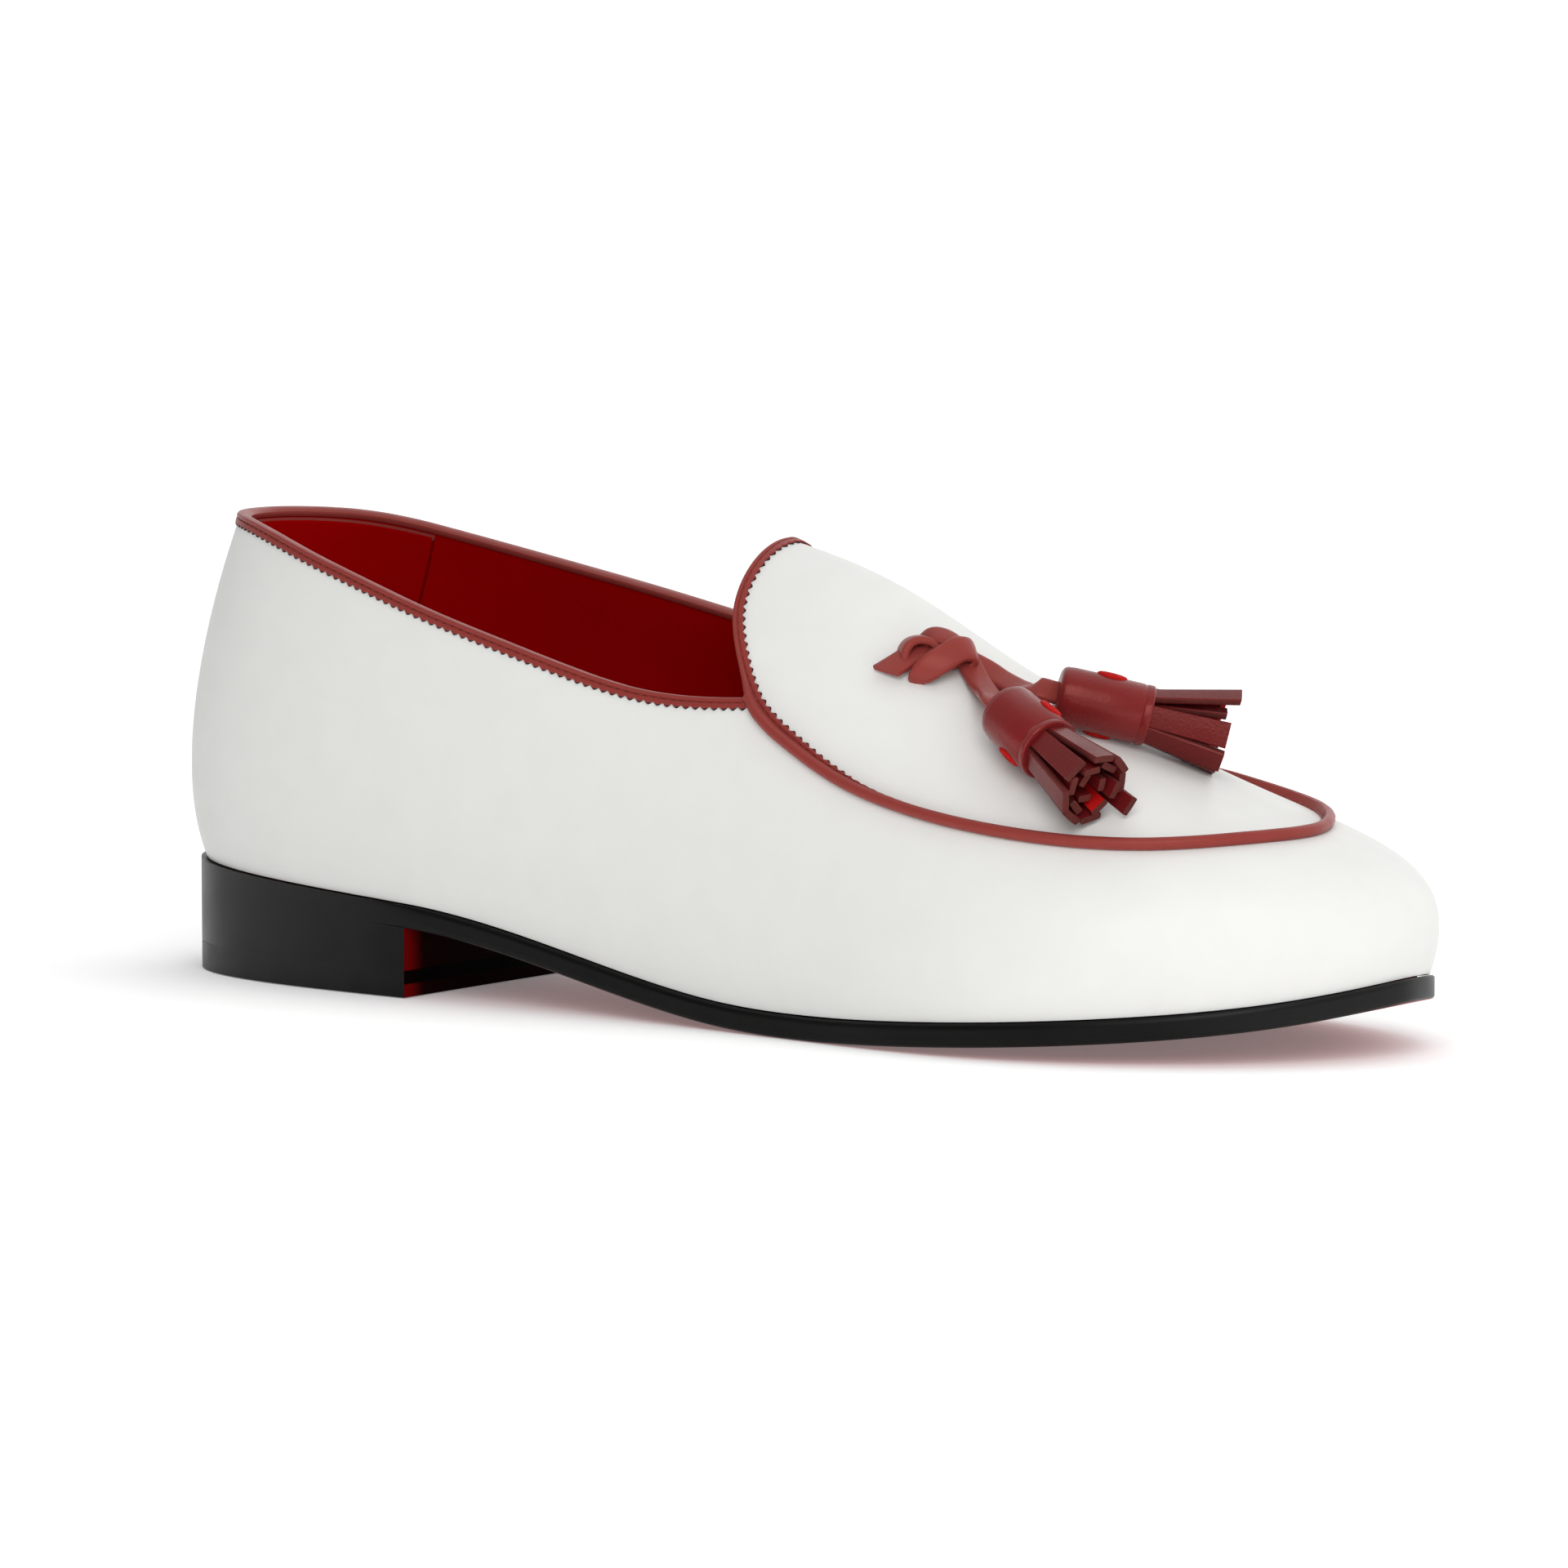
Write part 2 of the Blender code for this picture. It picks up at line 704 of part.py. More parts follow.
def make_bindings():
    """The bindings of the topline and the tongue, and the corded welt around the plug's front."""
    corner = {side: corner_shares(side) for side in (LATERAL, MEDIAL)}
    rear, tongue, front = {}, {}, {}
    for side, (f, share) in corner.items():
        stations = np.linspace(0, f, TOPLINE_STEPS + 1)
        stations[-1] = f * TOPLINE_STOP
        rear[side] = topline(side, stations)
        tongue[side] = plug_edge(side, np.linspace(share, 0, TONGUE_STEPS + 1)[TONGUE_SKIP:])
        front[side] = plug_edge(side, np.linspace(share + WELT_START, 1, PLUG_STEPS + 1))

    line = np.concatenate([rear[MEDIAL][:0:-1], rear[LATERAL]])
    make_channel("topline_binding", line, TOPLINE_LEG)
    line = np.concatenate([tongue[LATERAL], tongue[MEDIAL][-2::-1]])
    make_channel("tongue_binding", line, TONGUE_LEG)

    line = np.concatenate([front[LATERAL], front[MEDIAL][-2::-1]])
    end = np.minimum(np.arange(len(line)), np.arange(len(line))[::-1])
    full = np.clip(WELT_END_SIZE + (1 - WELT_END_SIZE) * end / WELT_TAPER_STEPS, 0, 1)
    loops = section_loops(edge_frames(line), places(WELT_SECTION, "left out"), full, full**0.5)
    lift = [GAP * normal for normal in last_normal(line)]
    make_tube("plug_welt", [loop + up for loop, up in zip(loops, lift)], TRIM_RED)


# Thong and tassels


def on_last(rows):
    """The points of a table that gives places in the chart and heights over the last."""
    q = places(rows, "along across")
    return last(q) + rows["height"][:, None] * last_normal(q)


def knot_frame():
    """The knot's place on the plug and its rightward, upward and outward directions."""
    q = np.array([KNOT_PLACE])
    turn = math.radians(KNOT_TURN)
    step = NEAR * np.array([[math.cos(turn), math.sin(turn)]])
    right = (last(q + step) - last(q - step))[0]
    right /= np.linalg.norm(right)
    outward = last_normal(q)[0]
    return last(q)[0], np.array([right, np.cross(outward, right), outward])


def ribbon_loops(points, faces, width):
    """Loops of a flat leather strip along points, with the direction that its face looks in at each."""
    knots = np.linspace(0, 1, len(points))
    fine = np.linspace(0, 1, RIBBON_STEPS * (len(points) - 1) + 1)
    path, face = spline(knots, points)(fine), spline(knots, faces)(fine)
    forward = np.gradient(path, axis=0)
    across = np.cross(face, forward)
    across /= np.linalg.norm(across, axis=-1, keepdims=True)
    out = np.cross(forward, across)
    out /= np.linalg.norm(out, axis=-1, keepdims=True)
    half, thick = width / 2, THONG_THICKNESS / 2
    crown, edge = THONG_CROWN * half, THONG_EDGE * thick
    corners = ((-half, -thick), (half, -thick), (half, edge), (crown, thick))
    corners += ((-crown, thick), (-half, edge))
    return [p + np.array([a * s + b * o for a, b in corners]) for p, s, o in zip(path, across, out)]


def fuse(body, pieces):
    """Join pieces to a body by union. The pieces stay as hidden operands."""
    for piece in pieces:
        piece.hide_render = True
        piece.display_type = "WIRE"
        union = body.modifiers.new("fuse " + piece.name, "BOOLEAN")
        union.operation = "UNION"
        union.solver = "EXACT"
        union.object = piece


def tassel_axis(name):
    """Where a tassel starts, its direction and its length."""
    start, end = on_last(TASSELS[name])
    length = np.linalg.norm(end - start)
    return start, (end - start) / length, length


def make_thong():
    """The leather thong: a flat overhand knot with a cut tail, and a strand to each tassel."""
    place, axes = knot_frame()
    pieces = []
    for name, rows in KNOT_STRAPS.items():
        points = place + places(rows, "right up out") @ axes
        faces = places(rows, "face_right face_up face_out") @ axes
        loops = ribbon_loops(points, faces, STRAP_WIDTH)
        pieces.append(make_tube("thong_" + name, loops, TRIM_RED))
    for name, rows in STRANDS.items():
        start, along, _ = tassel_axis(name)
        ends = [start - back * along for back in (STRAND_GAP + STRAND_LEAD, STRAND_GAP)]
        chart, tassel_end = places(rows, "along across"), places(TASSELS[name], "along across")[:1]
        faces = last_normal(np.concatenate([chart, tassel_end, tassel_end]))
        loops = ribbon_loops(np.concatenate([on_last(rows), ends]), faces, STRAND_WIDTH)
        pieces.append(make_tube("thong_strand_" + name, loops, TRIM_RED))

    turn = np.linspace(0, 2 * np.pi, KNOT_CORE_SIDES + 1)[:-1]
    loops = []
    for lift in np.radians(KNOT_CORE_RINGS):
        ring = np.stack([np.cos(turn), np.sin(turn), 0 * turn], axis=-1) * math.cos(lift)
        ring[:, 2] = math.sin(lift)
        loops.append(place + (np.array(KNOT_CORE_PLACE) + ring * KNOT_CORE) @ axes)
    fuse(make_tube("thong", loops, TRIM_RED), pieces)


def make_strips(name, start, along, length, side, up):
    """The strips of a tassel's fringe: tapered leather flats in a ring, cut to uneven lengths."""
    points, faces = [], []
    for k, shorter in enumerate(STRIP_SHORTER_BY):
        angle = 2 * np.pi * (k + 0.5) / len(STRIP_SHORTER_BY)
        out = math.cos(angle) * side + math.sin(angle) * up
        tangent = np.cross(along, out)
        reach = length - shorter - COLLAR_LENGTH
        loops = []
        for share, radius, width in zip(*STRIP_PROFILE.values()):
            middle = start + (COLLAR_LENGTH + share * reach) * along + radius * out
            half, thick = width / 2, STRIP_THICKNESS / 2
            corners = ((-half, -thick), (half, -thick), (half, thick), (-half, thick))
            loops.append([middle + a * tangent + b * out for a, b in corners])
        first, count = len(points), 4 * len(loops)
        points += [corner for loop in loops for corner in loop]
        strip = bridge(loops, False) + [tuple(range(4)), tuple(range(count - 4, count))]
        faces += [tuple(first + i for i in face) for face in strip]
    return make_object("strips_" + name, points, faces, TASSEL_RED)


def make_tassel(name):
    """A tassel: a rolled collar on a core, and a ring of fringe strips fused to it."""
    start, along, length = tassel_axis(name)
    side = np.cross(along, last_normal(places(TASSELS[name], "along across"))[0])
    side /= np.linalg.norm(side)
    up = np.cross(side, along)

    turn = np.linspace(0, 2 * np.pi, COLLAR_SIDES + 1)[:-1]
    around = np.outer(np.cos(turn), side) + np.outer(np.sin(turn), up)
    rings = zip(TASSEL_PROFILE["along"], TASSEL_PROFILE["radius"] * TASSEL_GIRTH[name])
    collar = [start + distance * along + radius * around for distance, radius in rings]
    body = make_tube("tassel_" + name, collar, TASSEL_RED)
    fuse(body, [make_strips(name, start, along, length, side, up)])


def set_origin():
    """Hang everything from an empty that puts the origin under the middle of the shoe's box."""
    things = list(bpy.data.objects)
    corners = np.array([v.co for thing in things for v in thing.data.vertices])
    low, high = corners.min(0), corners.max(0)
    frame = bpy.data.objects.new("shoe_frame", None)
    bpy.context.collection.objects.link(frame)
    frame.location = (-(low[0] + high[0]) / 2, -(low[1] + high[1]) / 2, -low[2])
    for thing in things:
        thing.parent = frame


def build():
    """Make the whole shoe and set its origin under the middle of its box."""
    clear_scene()
    make_sole()
    make_upper()
    make_bindings()
    make_thong()
    for name in TASSELS:
        make_tassel(name)
    set_origin()


build()
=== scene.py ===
"""Dresses the solids of a white loafer: leather, lining, pinked bindings, a knotted thong and tassels."""

import json
import math

import bmesh
import bpy
import numpy as np
from mathutils import Matrix, Vector
from mathutils.bvhtree import BVHTree

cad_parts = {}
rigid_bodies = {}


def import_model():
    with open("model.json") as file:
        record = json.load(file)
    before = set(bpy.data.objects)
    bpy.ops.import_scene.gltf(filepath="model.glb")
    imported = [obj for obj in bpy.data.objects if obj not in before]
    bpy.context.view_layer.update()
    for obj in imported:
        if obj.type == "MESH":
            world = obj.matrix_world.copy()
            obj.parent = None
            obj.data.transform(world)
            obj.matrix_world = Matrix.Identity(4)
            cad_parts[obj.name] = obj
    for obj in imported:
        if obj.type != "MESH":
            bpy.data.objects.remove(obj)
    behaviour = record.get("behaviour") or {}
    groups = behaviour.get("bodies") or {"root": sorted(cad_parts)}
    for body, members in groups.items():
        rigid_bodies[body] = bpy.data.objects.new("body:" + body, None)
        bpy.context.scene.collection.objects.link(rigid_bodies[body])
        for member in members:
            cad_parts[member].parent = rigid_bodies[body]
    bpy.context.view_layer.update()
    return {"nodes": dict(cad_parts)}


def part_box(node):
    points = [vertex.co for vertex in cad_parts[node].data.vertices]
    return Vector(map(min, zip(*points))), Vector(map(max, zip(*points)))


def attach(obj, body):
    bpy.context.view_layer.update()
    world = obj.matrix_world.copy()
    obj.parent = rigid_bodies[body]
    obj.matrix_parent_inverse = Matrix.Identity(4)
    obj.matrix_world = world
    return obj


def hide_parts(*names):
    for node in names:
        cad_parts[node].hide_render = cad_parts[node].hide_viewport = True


bl_info = {
    "name": "Loafer dresser",
    "version": (1, 0, 0),
    "blender": (4, 5, 0),
    "location": "3D View > Sidebar > Loafer",
    "description": "Gives the solids of a loafer their leather, bindings, thong, tassels and studio",
    "category": "Object",
}

for thing in list(bpy.data.objects):
    bpy.data.objects.remove(thing)
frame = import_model()

MM = 0.001
BODY = "root"

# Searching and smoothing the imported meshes, and the steps of a curve from one point to the next
MERGE = 1e-6
FLAT = math.radians(0.2)
SHARP = math.radians(60)
CREASED = math.radians(28)
SMOOTH_BELOW = math.radians(35)
SMOOTH_LEVELS = 2
QUAD_ORDER = 2.0
CURVE_STEPS = 24

# The heel grip inside the back of the upper: its front edge, how it leans and is rounded, and how near its
# top the rim is painted lighter as a highlight
GRIP_FRONT = -0.1073
GRIP_COLUMNS = 15
GRIP_TOP = 1.2 * MM
GRIP_FOOT = 0.97
GRIP_LEAN = 0.5
GRIP_ROUND = 0.5 * MM
GRIP_SEGMENTS = 2
GRIP_HIGHLIGHT_REACH = 1.4 * MM
GRIP_BENT = math.radians(60)

# The heel's layers: each node's piece, slot and leather, and how much of its joint shows at the back
HEEL_LAYERS = (
    ("heel_stack", "heel_lifts", "heel_leather", "edge_leather", 0.0),
    ("heel_toplift", "heel_rubber_lift", "heel_rubber", "heel_rubber", 0.6),
)

# A rim beside its upright wall: how near it lies, and the share of its rounding that stays at the back
UPRIGHT = 0.95
RIM_FREE = 0.8 * MM
RIM_LEFT = 0.12
RIM_FADE = (-0.139, -0.131)
JOINT = 0.3 * MM

# Which faces are painted, and how far behind the breast the sole's rim starts to lie flush
UNDERSIDE = -0.85
BREAST_SIDE = 0.9
FLUSH_BEHIND = 2 * MM

# The heel's breast: how far its red reaches from the lateral edge before it fades into painted shade, how
# dark that shade gets, and how far the red reaches from the floor on the rubber
BREAST_SHADE_FADE = (1.0 * MM, 7.0 * MM)
BREAST_SHADE_DEPTH = 0.05
LIFT_RED = 2.7 * MM
LIFT_DARK = 0.02
BLUR = 0.15 * MM

# A binding folded over the wall's edge: distances onto the panel from its edge, and outward
EDGE_SECTION = np.array((
    (1.80, 0.15), (1.80, 0.52), (1.30, 0.62), (0.92, 0.58), (0.74, 0.30), (0.62, 0.40), (0.50, 0.66),
    (0.10, 0.74), (-0.28, 0.56), (-0.55, 0.02), (-0.65, -0.90), (-0.55, -1.82), (-0.28, -2.36),
    (0.10, -2.54), (0.45, -2.52), (0.80, -2.44), (0.80, -1.96), (-0.20, -1.90), (-0.20, 0.10),
)) * MM

# The corded welt on the surface, with as many points
WELT_SECTION = np.array((
    (1.20, 0.15), (1.20, 0.50), (0.85, 0.62), (0.45, 0.58), (0.26, 0.34), (0.14, 0.44), (-0.02, 1.00),
    (-0.32, 1.90), (-0.77, 2.22), (-1.20, 2.30), (-1.83, 2.12), (-2.26, 1.70), (-2.42, 1.05), (-2.30, 0.40),
    (-2.10, 0.10), (-1.40, 0.00), (-0.60, 0.00), (0.20, 0.00), (0.70, 0.00),
)) * MM

# Which of a section's points carry the teeth and the groove, and the teeth's steps and notches
TOOTH_POINTS = (0, 1)
GROOVE_POINT = 4
TOOTH_STEPS = 8
NOTCH_SHARE = 0.68

# The dark strip behind the teeth, painted shade where the teeth's cut edges fall into shadow
TEETH_SHADE_LOW = -0.1 * MM
TEETH_SHADE_TOPS = {"topline": 0.42 * MM, "plug": 0.24 * MM}
TEETH_SHADE_WIDTH = 0.6 * MM
TEETH_SHADE_RIM = 0.30 * MM
TEETH_SHADE_SHARE = 0.6
TEETH_SHADE_SUNK = 1.2 * MM

# A stitch: its sides, how far it is raised, and its girth along it
STITCH_SIDES = 6
STITCH_RAISED = 0.4
STITCH_PROFILE = ((-1.0, 0.35), (-0.75, 0.9), (0.0, 1.0), (0.75, 0.9), (1.0, 0.35))

# How many neighbours even out the directions along each line, and the corner's bend
TOPLINE_EVEN = 3
SEAM_EVEN = 2
MOVED_EVEN = 1
PLUG_EVEN = 18
CORNER_EVEN = 3 * TOOTH_STEPS

# Distances from a corner: where the fold turns into the welt, the gap in the line, and its rounding's fade
CORNER_BLEND = (-10.5 * MM, 4.5 * MM)
CORNER_CLEAR = 3.0 * MM
CORNER_ROUND = (8 * MM, 24 * MM)

# How far the topline's ends run under the other binding, and the slope of normals that are turned round
TOPLINE_UNDER = 1.6 * MM
FOLDED = -0.2

# How far the seam lies towards the plug's middle from the CAD welt's, by distance from its corner
SEAM_FROM_CORNER = np.array((0.0, 4.0, 9.0, 15.0, 25.0, 40.0, 60.0, 80.0, 100.0)) * MM
SEAM_INWARD = np.array((0.0, 1.2, 2.3, 2.6, 2.45, 2.1, 1.7, 1.1, 0.7)) * MM
WELT_SIDES = 9

# How the toothed strip narrows by distance from the corner, and the share below which its edge sinks
STRIP_FROM_CORNER = np.array((12.0, 40.0)) * MM
STRIP_SHARE = (1.0, 0.15)
STRIP_BARE = 0.5

# The knot: where it lies on the plug seen from above, and its rightward direction there
KNOT_PLACE = (0.0484, -0.0136)
KNOT_RIGHT = (0.684, 0.728)

# The knot's straps, point by point: right, up and out of its place, and where the face looks, likewise
KNOT_STRAPS = {
    "tail": (
        (-10.5, 0.4, 0.9, 0.0, 0.1, 1.0),
        (-7.5, 1.9, 1.6, 0.0, 0.1, 1.0),
        (-4.6, 3.5, 2.1, 0.0, 0.0, 1.0),
        (-1.0, 5.2, 2.5, 0.0, 0.0, 1.0),
    ),
    "left_loop": (
        (-6.6, 3.2, 1.0, -1.0, 0.0, 0.2),
        (-6.5, 4.2, 2.7, -0.9, 0.2, 0.4),
        (-5.2, 5.4, 3.7, -0.5, 0.5, 0.7),
        (-3.2, 5.9, 3.9, 0.0, 0.6, 0.8),
        (-1.0, 5.5, 3.5, 0.4, 0.6, 0.7),
        (0.5, 4.4, 2.6, 0.6, 0.5, 0.6),
    ),
    "upper_loop": (
        (-2.2, 6.6, 2.0, -0.7, 0.1, 0.6),
        (-0.6, 6.6, 3.8, -0.3, 0.0, 0.9),
        (1.3, 5.8, 4.4, 0.1, 0.0, 1.0),
        (3.2, 5.0, 4.0, 0.3, 0.0, 0.9),
        (4.9, 4.2, 3.0, 0.4, 0.0, 0.8),
    ),
    "front": (
        (-3.3, -2.2, 0.0, -0.4, -0.9, 0.0),
        (-3.6, -2.4, 1.3, -0.4, -0.8, 0.4),
        (-2.1, -1.7, 3.2, -0.3, -0.6, 0.8),
        (0.7, -0.6, 4.5, -0.1, -0.4, 0.9),
        (4.0, 1.1, 5.1, 0.2, -0.2, 0.9),
        (6.4, 1.8, 4.2, 0.8, 0.0, 0.6),
        (7.2, 1.8, 2.6, 1.0, 0.0, 0.1),
        (6.4, 1.7, 1.2, 0.8, -0.1, -0.6),
    ),
}
STRAP_GIRTH = {"tail": 1.15, "left_loop": 1.0, "upper_loop": 1.0, "front": 1.2}
STRAP_SLANT = {"tail": 0.5, "front": 0.5}
STRAP_STEP = 0.4 * MM
STRAP_EVEN = 5
STRAP_CREASE = math.radians(50)
STRAP_SECTION = np.array((
    (-1.0, -0.5), (-0.9, -0.95), (0.0, -1.0), (0.9, -0.95), (1.0, -0.5), (1.0, 0.4), (0.9, 0.86),
    (0.6, 1.0), (0.0, 1.06), (-0.6, 1.0), (-0.9, 0.86), (-1.0, 0.4),
)) / 2
KNOT_CORE = (1.6, 2.6, 1.8)
KNOT_CORE_SIZE = (4.6, 3.2, 2.4)

# Each tassel's strand from the knot, by places in the knot's frame before it reaches the collar
STRAND_FACE = (0.1, -0.3, 1.0)
STRAND_ENDS = (-4.0, 1.0)
STRANDS = {
    "tassel_lateral": ((5.9, 2.1, 2.2), (6.5, 0.2, 1.4), (7.3, -4.6, 1.5), (7.8, -9.8, 3.2)),
    "tassel_medial": ((7.0, 1.6, 1.0), (9.9, -1.0, 0.8), (12.4, -4.6, 1.2), (15.2, -9.6, 3.2)),
}

# A tassel along its axis: the collar's profile, with distance and radius
COLLAR_SIDES = 18
COLLAR_SEGMENTS = 48
COLLAR_GIRTH = {"tassel_lateral": 1.02, "tassel_medial": 0.96}
COLLAR_AHEAD = {"tassel_lateral": 3.0 * MM, "tassel_medial": -1.2 * MM}
COLLAR_LENGTH = {"tassel_lateral": 0.915, "tassel_medial": 1.07}
COLLAR_PROFILE = (
    (0.0, 3.0), (0.05, 4.9), (0.35, 5.5), (0.9, 5.85), (2.4, 6.05), (8.0, 6.2), (15.4, 6.3), (15.8, 6.1),
    (16.2, 6.35), (17.2, 6.35), (17.5, 6.1), (17.5, 5.2), (13.0, 5.0),
)
COLLAR_WALL = COLLAR_PROFILE[:7]

# How far a fringe starts inside its collar, and at what distance from the axis
FRINGE_INSIDE = 3.5
FRINGE_BASE = 4.6

# The fringes: each strip's angle about the axis, width, cut and distance from the axis at its end
FRINGES = {
    "tassel_lateral": (
        (-16.0, 5.0, 1.4, 6.8), (38.0, 5.0, 2.6, 6.7), (88.0, 4.5, 1.4, 7.2), (132.0, 4.5, 1.8, 7.2),
        (172.0, 4.3, 2.6, 6.9), (200.0, 4.0, 0.0, 8.8), (256.0, 4.6, 2.4, 6.8), (300.0, 4.5, 2.0, 6.8),
    ),
    "tassel_medial": (
        (-42.0, 5.2, 0.8, 7.2), (4.0, 5.2, 1.0, 7.1), (66.0, 4.4, 0.0, 9.0), (104.0, 4.4, 0.6, 8.0),
        (146.0, 4.6, 1.6, 7.4), (190.0, 4.6, 0.8, 7.2), (232.0, 4.6, 2.0, 7.2), (276.0, 4.6, 1.2, 7.1),
    ),
}
INNER_BASE = 2.6
INNER_SPREAD = 0.6
INNER_STRIPS = (
    (10.0, 3.8, 2.4, 5.0), (66.0, 3.6, 1.8, 4.7), (124.0, 3.8, 2.9, 5.2), (180.0, 3.6, 1.4, 4.8),
    (236.0, 3.8, 2.2, 5.0), (298.0, 3.6, 3.0, 4.8), (40.0, 2.8, 3.2, 2.4), (160.0, 2.8, 2.6, 2.2),
    (280.0, 2.8, 3.4, 2.6),
)

# A strip: its section, which strips show their flesh side, its inner and cut faces, widening and twists
STRIP_SECTION = (
    (-1.0, -0.6), (-0.92, -1.0), (0.0, -1.0), (0.92, -1.0), (1.0, -0.6), (1.0, 0.6), (0.92, 1.0),
    (0.0, 1.12), (-0.92, 1.0), (-1.0, 0.6),
)
FLESH_SHOWN = {"tassel_lateral": (12, 13), "tassel_medial": (4, 12)}
FLESH_FACES = (1, 2)
CUT_FACES = (4, 9)
STRIP_STEPS = 10
STRIP_HALF = (0.4, 0.5)
STRIP_TWIST = (0.2, 0.5)
TWIST_STEP = 3.1

# The collars' slots, by angle about the axis
SLOT_ANGLES = {"tassel_lateral": (-47.0, 115.0), "tassel_medial": (87.0, -100.0)}
SLOT_ALONG = 9.8
SLOT_SUNK = 0.15 * MM
SLOT_SHAPE = (2.1 * MM, 1.25 * MM)
SLOT_LIP = 0.62 * MM
SLOT_OPENING = 0.35 * MM
SLOT_SEGMENTS = (32, 12)
OPENING_SEGMENTS = (24, 12)

# The camera keeps the photograph's viewpoint and turns to the one shoe
CAMERA_AZIMUTH = math.radians(34.0)
CAMERA_ELEVATION = math.radians(2.952)
CAMERA_DISTANCE = 1.4
CAMERA_ASIDE = Vector((0.0014, 0.0001, 0.0))
CAMERA_RIGHT = 0.0353
CAMERA_UP = 0.1047
CAMERA_AIM = Vector((0.004, -0.004, 0.046))
CAMERA_LENS = 157.0
CAMERA_SENSOR = 36.0

# What the leathers' sheen is tinted with
PLAIN_SHEEN = (1.0, 1.0, 1.0)
RED_SHEEN = (1.0, 0.45, 0.38)

# Each leather: its colour, how dark its shade gets, roughness, pebbles to the metre, relief, gloss, sheen
LEATHERS = {
    "white_leather": ("leather", 0.95, 0.46, 1500.0, 0.12, 0.30, PLAIN_SHEEN),
    "lining_leather": ("lining", 0.85, 0.60, 1200.0, 0.15, 0.02, RED_SHEEN),
    # The grip's edge: the lining's red, darkened as painted shade
    "grip_edge": ("grip", 0.85, 0.60, 1200.0, 0.15, 0.02, RED_SHEEN),
    "trim_leather": ("trim", 0.85, 0.36, 1900.0, 0.20, 0.30, RED_SHEEN),
    # A dark strip of painted shade at the bindings' teeth
    "backing_leather": ("backing", 0.70, 0.70, 2600.0, 0.30, 0.10, PLAIN_SHEEN),
    # The tassels' oxblood, lightened on the collars as painted light
    "collar_leather": ("collar", 0.75, 0.30, 1700.0, 0.25, 0.40, RED_SHEEN),
    "tassel_leather": ("tassel", 0.75, 0.30, 1700.0, 0.25, 0.40, RED_SHEEN),
    "flesh_leather": ("flesh", 0.75, 0.60, 2400.0, 0.30, 0.12, RED_SHEEN),
    "cut_leather": ("cut", 0.70, 0.60, 2600.0, 0.40, 0.20, RED_SHEEN),
    "edge_leather": ("edge", 0.70, 0.40, 900.0, 0.06, 0.12, PLAIN_SHEEN),
    "bottom_leather": ("bottom", 0.85, 0.35, 900.0, 0.05, 0.10, RED_SHEEN),
    # The breast's red paint, faded across it into painted shade
    "breast_paint": ("breast", 0.80, 0.50, 900.0, 0.05, 0.01, RED_SHEEN),
    "heel_rubber": ("rubber", 0.80, 0.42, 2200.0, 0.10, 0.12, PLAIN_SHEEN),
}

# The grain: its folds' push, its heights, depth and detail, and how far its shade moves the roughness
GRAIN_PUSH = 0.6 * MM
PEBBLE_HEIGHT = -0.6
PORE_HEIGHT = 0.5
GRAIN_DEPTH = 0.2 * MM
FOLD_DETAIL = 2.0
PORE_DETAIL = 4.0
PEBBLES_IN_FOLD = 12
SHADE_RANGE = (0.3, 0.7)
GLOSS_SPREAD = 0.06

# The wax on the sole's and heel's edge: its weight and roughness, and where it fades along the shoe
WAXED = ("edge_leather", "heel_rubber")
WAX = 0.22
WAX_ROUGHNESS = 0.36
WAX_RAMPS = ((-0.10, -0.06), (0.142, 0.11))

# The floor, and its glow of painted light, which is least under the shoe as a painted shadow: the
# footprint's half length and width, and how the glow grows by distance in footprints
FLOOR_SIZE = 30.0
FLOOR_DROP = 0.2 * MM
FLOOR_ROUGHNESS = 0.8
FOOTPRINT = (0.15, 0.05)
GLOW_STEPS = ((0.85, 1.9, 0.15, 0.27), (1.9, 6.0, 0.0, 0.16))

# The lamps: each one's place, target, size and watts
LAMPS = {
    "key": ((0.4, -0.55, 0.42), (0.07, 0.0, 0.05), 0.5, 2.9),
    "top": ((0.0, 0.1, 2.2), (0.0, 0.0, 0.0), 1.8, 4.0),
}

# The studio's sky: its strength level with the eye, and how much it grows in each direction
SKY_STRENGTH = 0.6
SKY_LEAN = (0.1, 0.66, 0.1)


def colour(name, description, default):
    """A colour that a user may change."""
    return bpy.props.FloatVectorProperty(
        name=name, description=description, default=default, subtype="COLOR", size=3, min=0.0, max=1.0
    )


def length(name, description, millimetres):
    """A length that a user may change."""
    return bpy.props.FloatProperty(
        name=name, description=description, default=millimetres * MM, unit="LENGTH", min=0.0, precision=5
    )


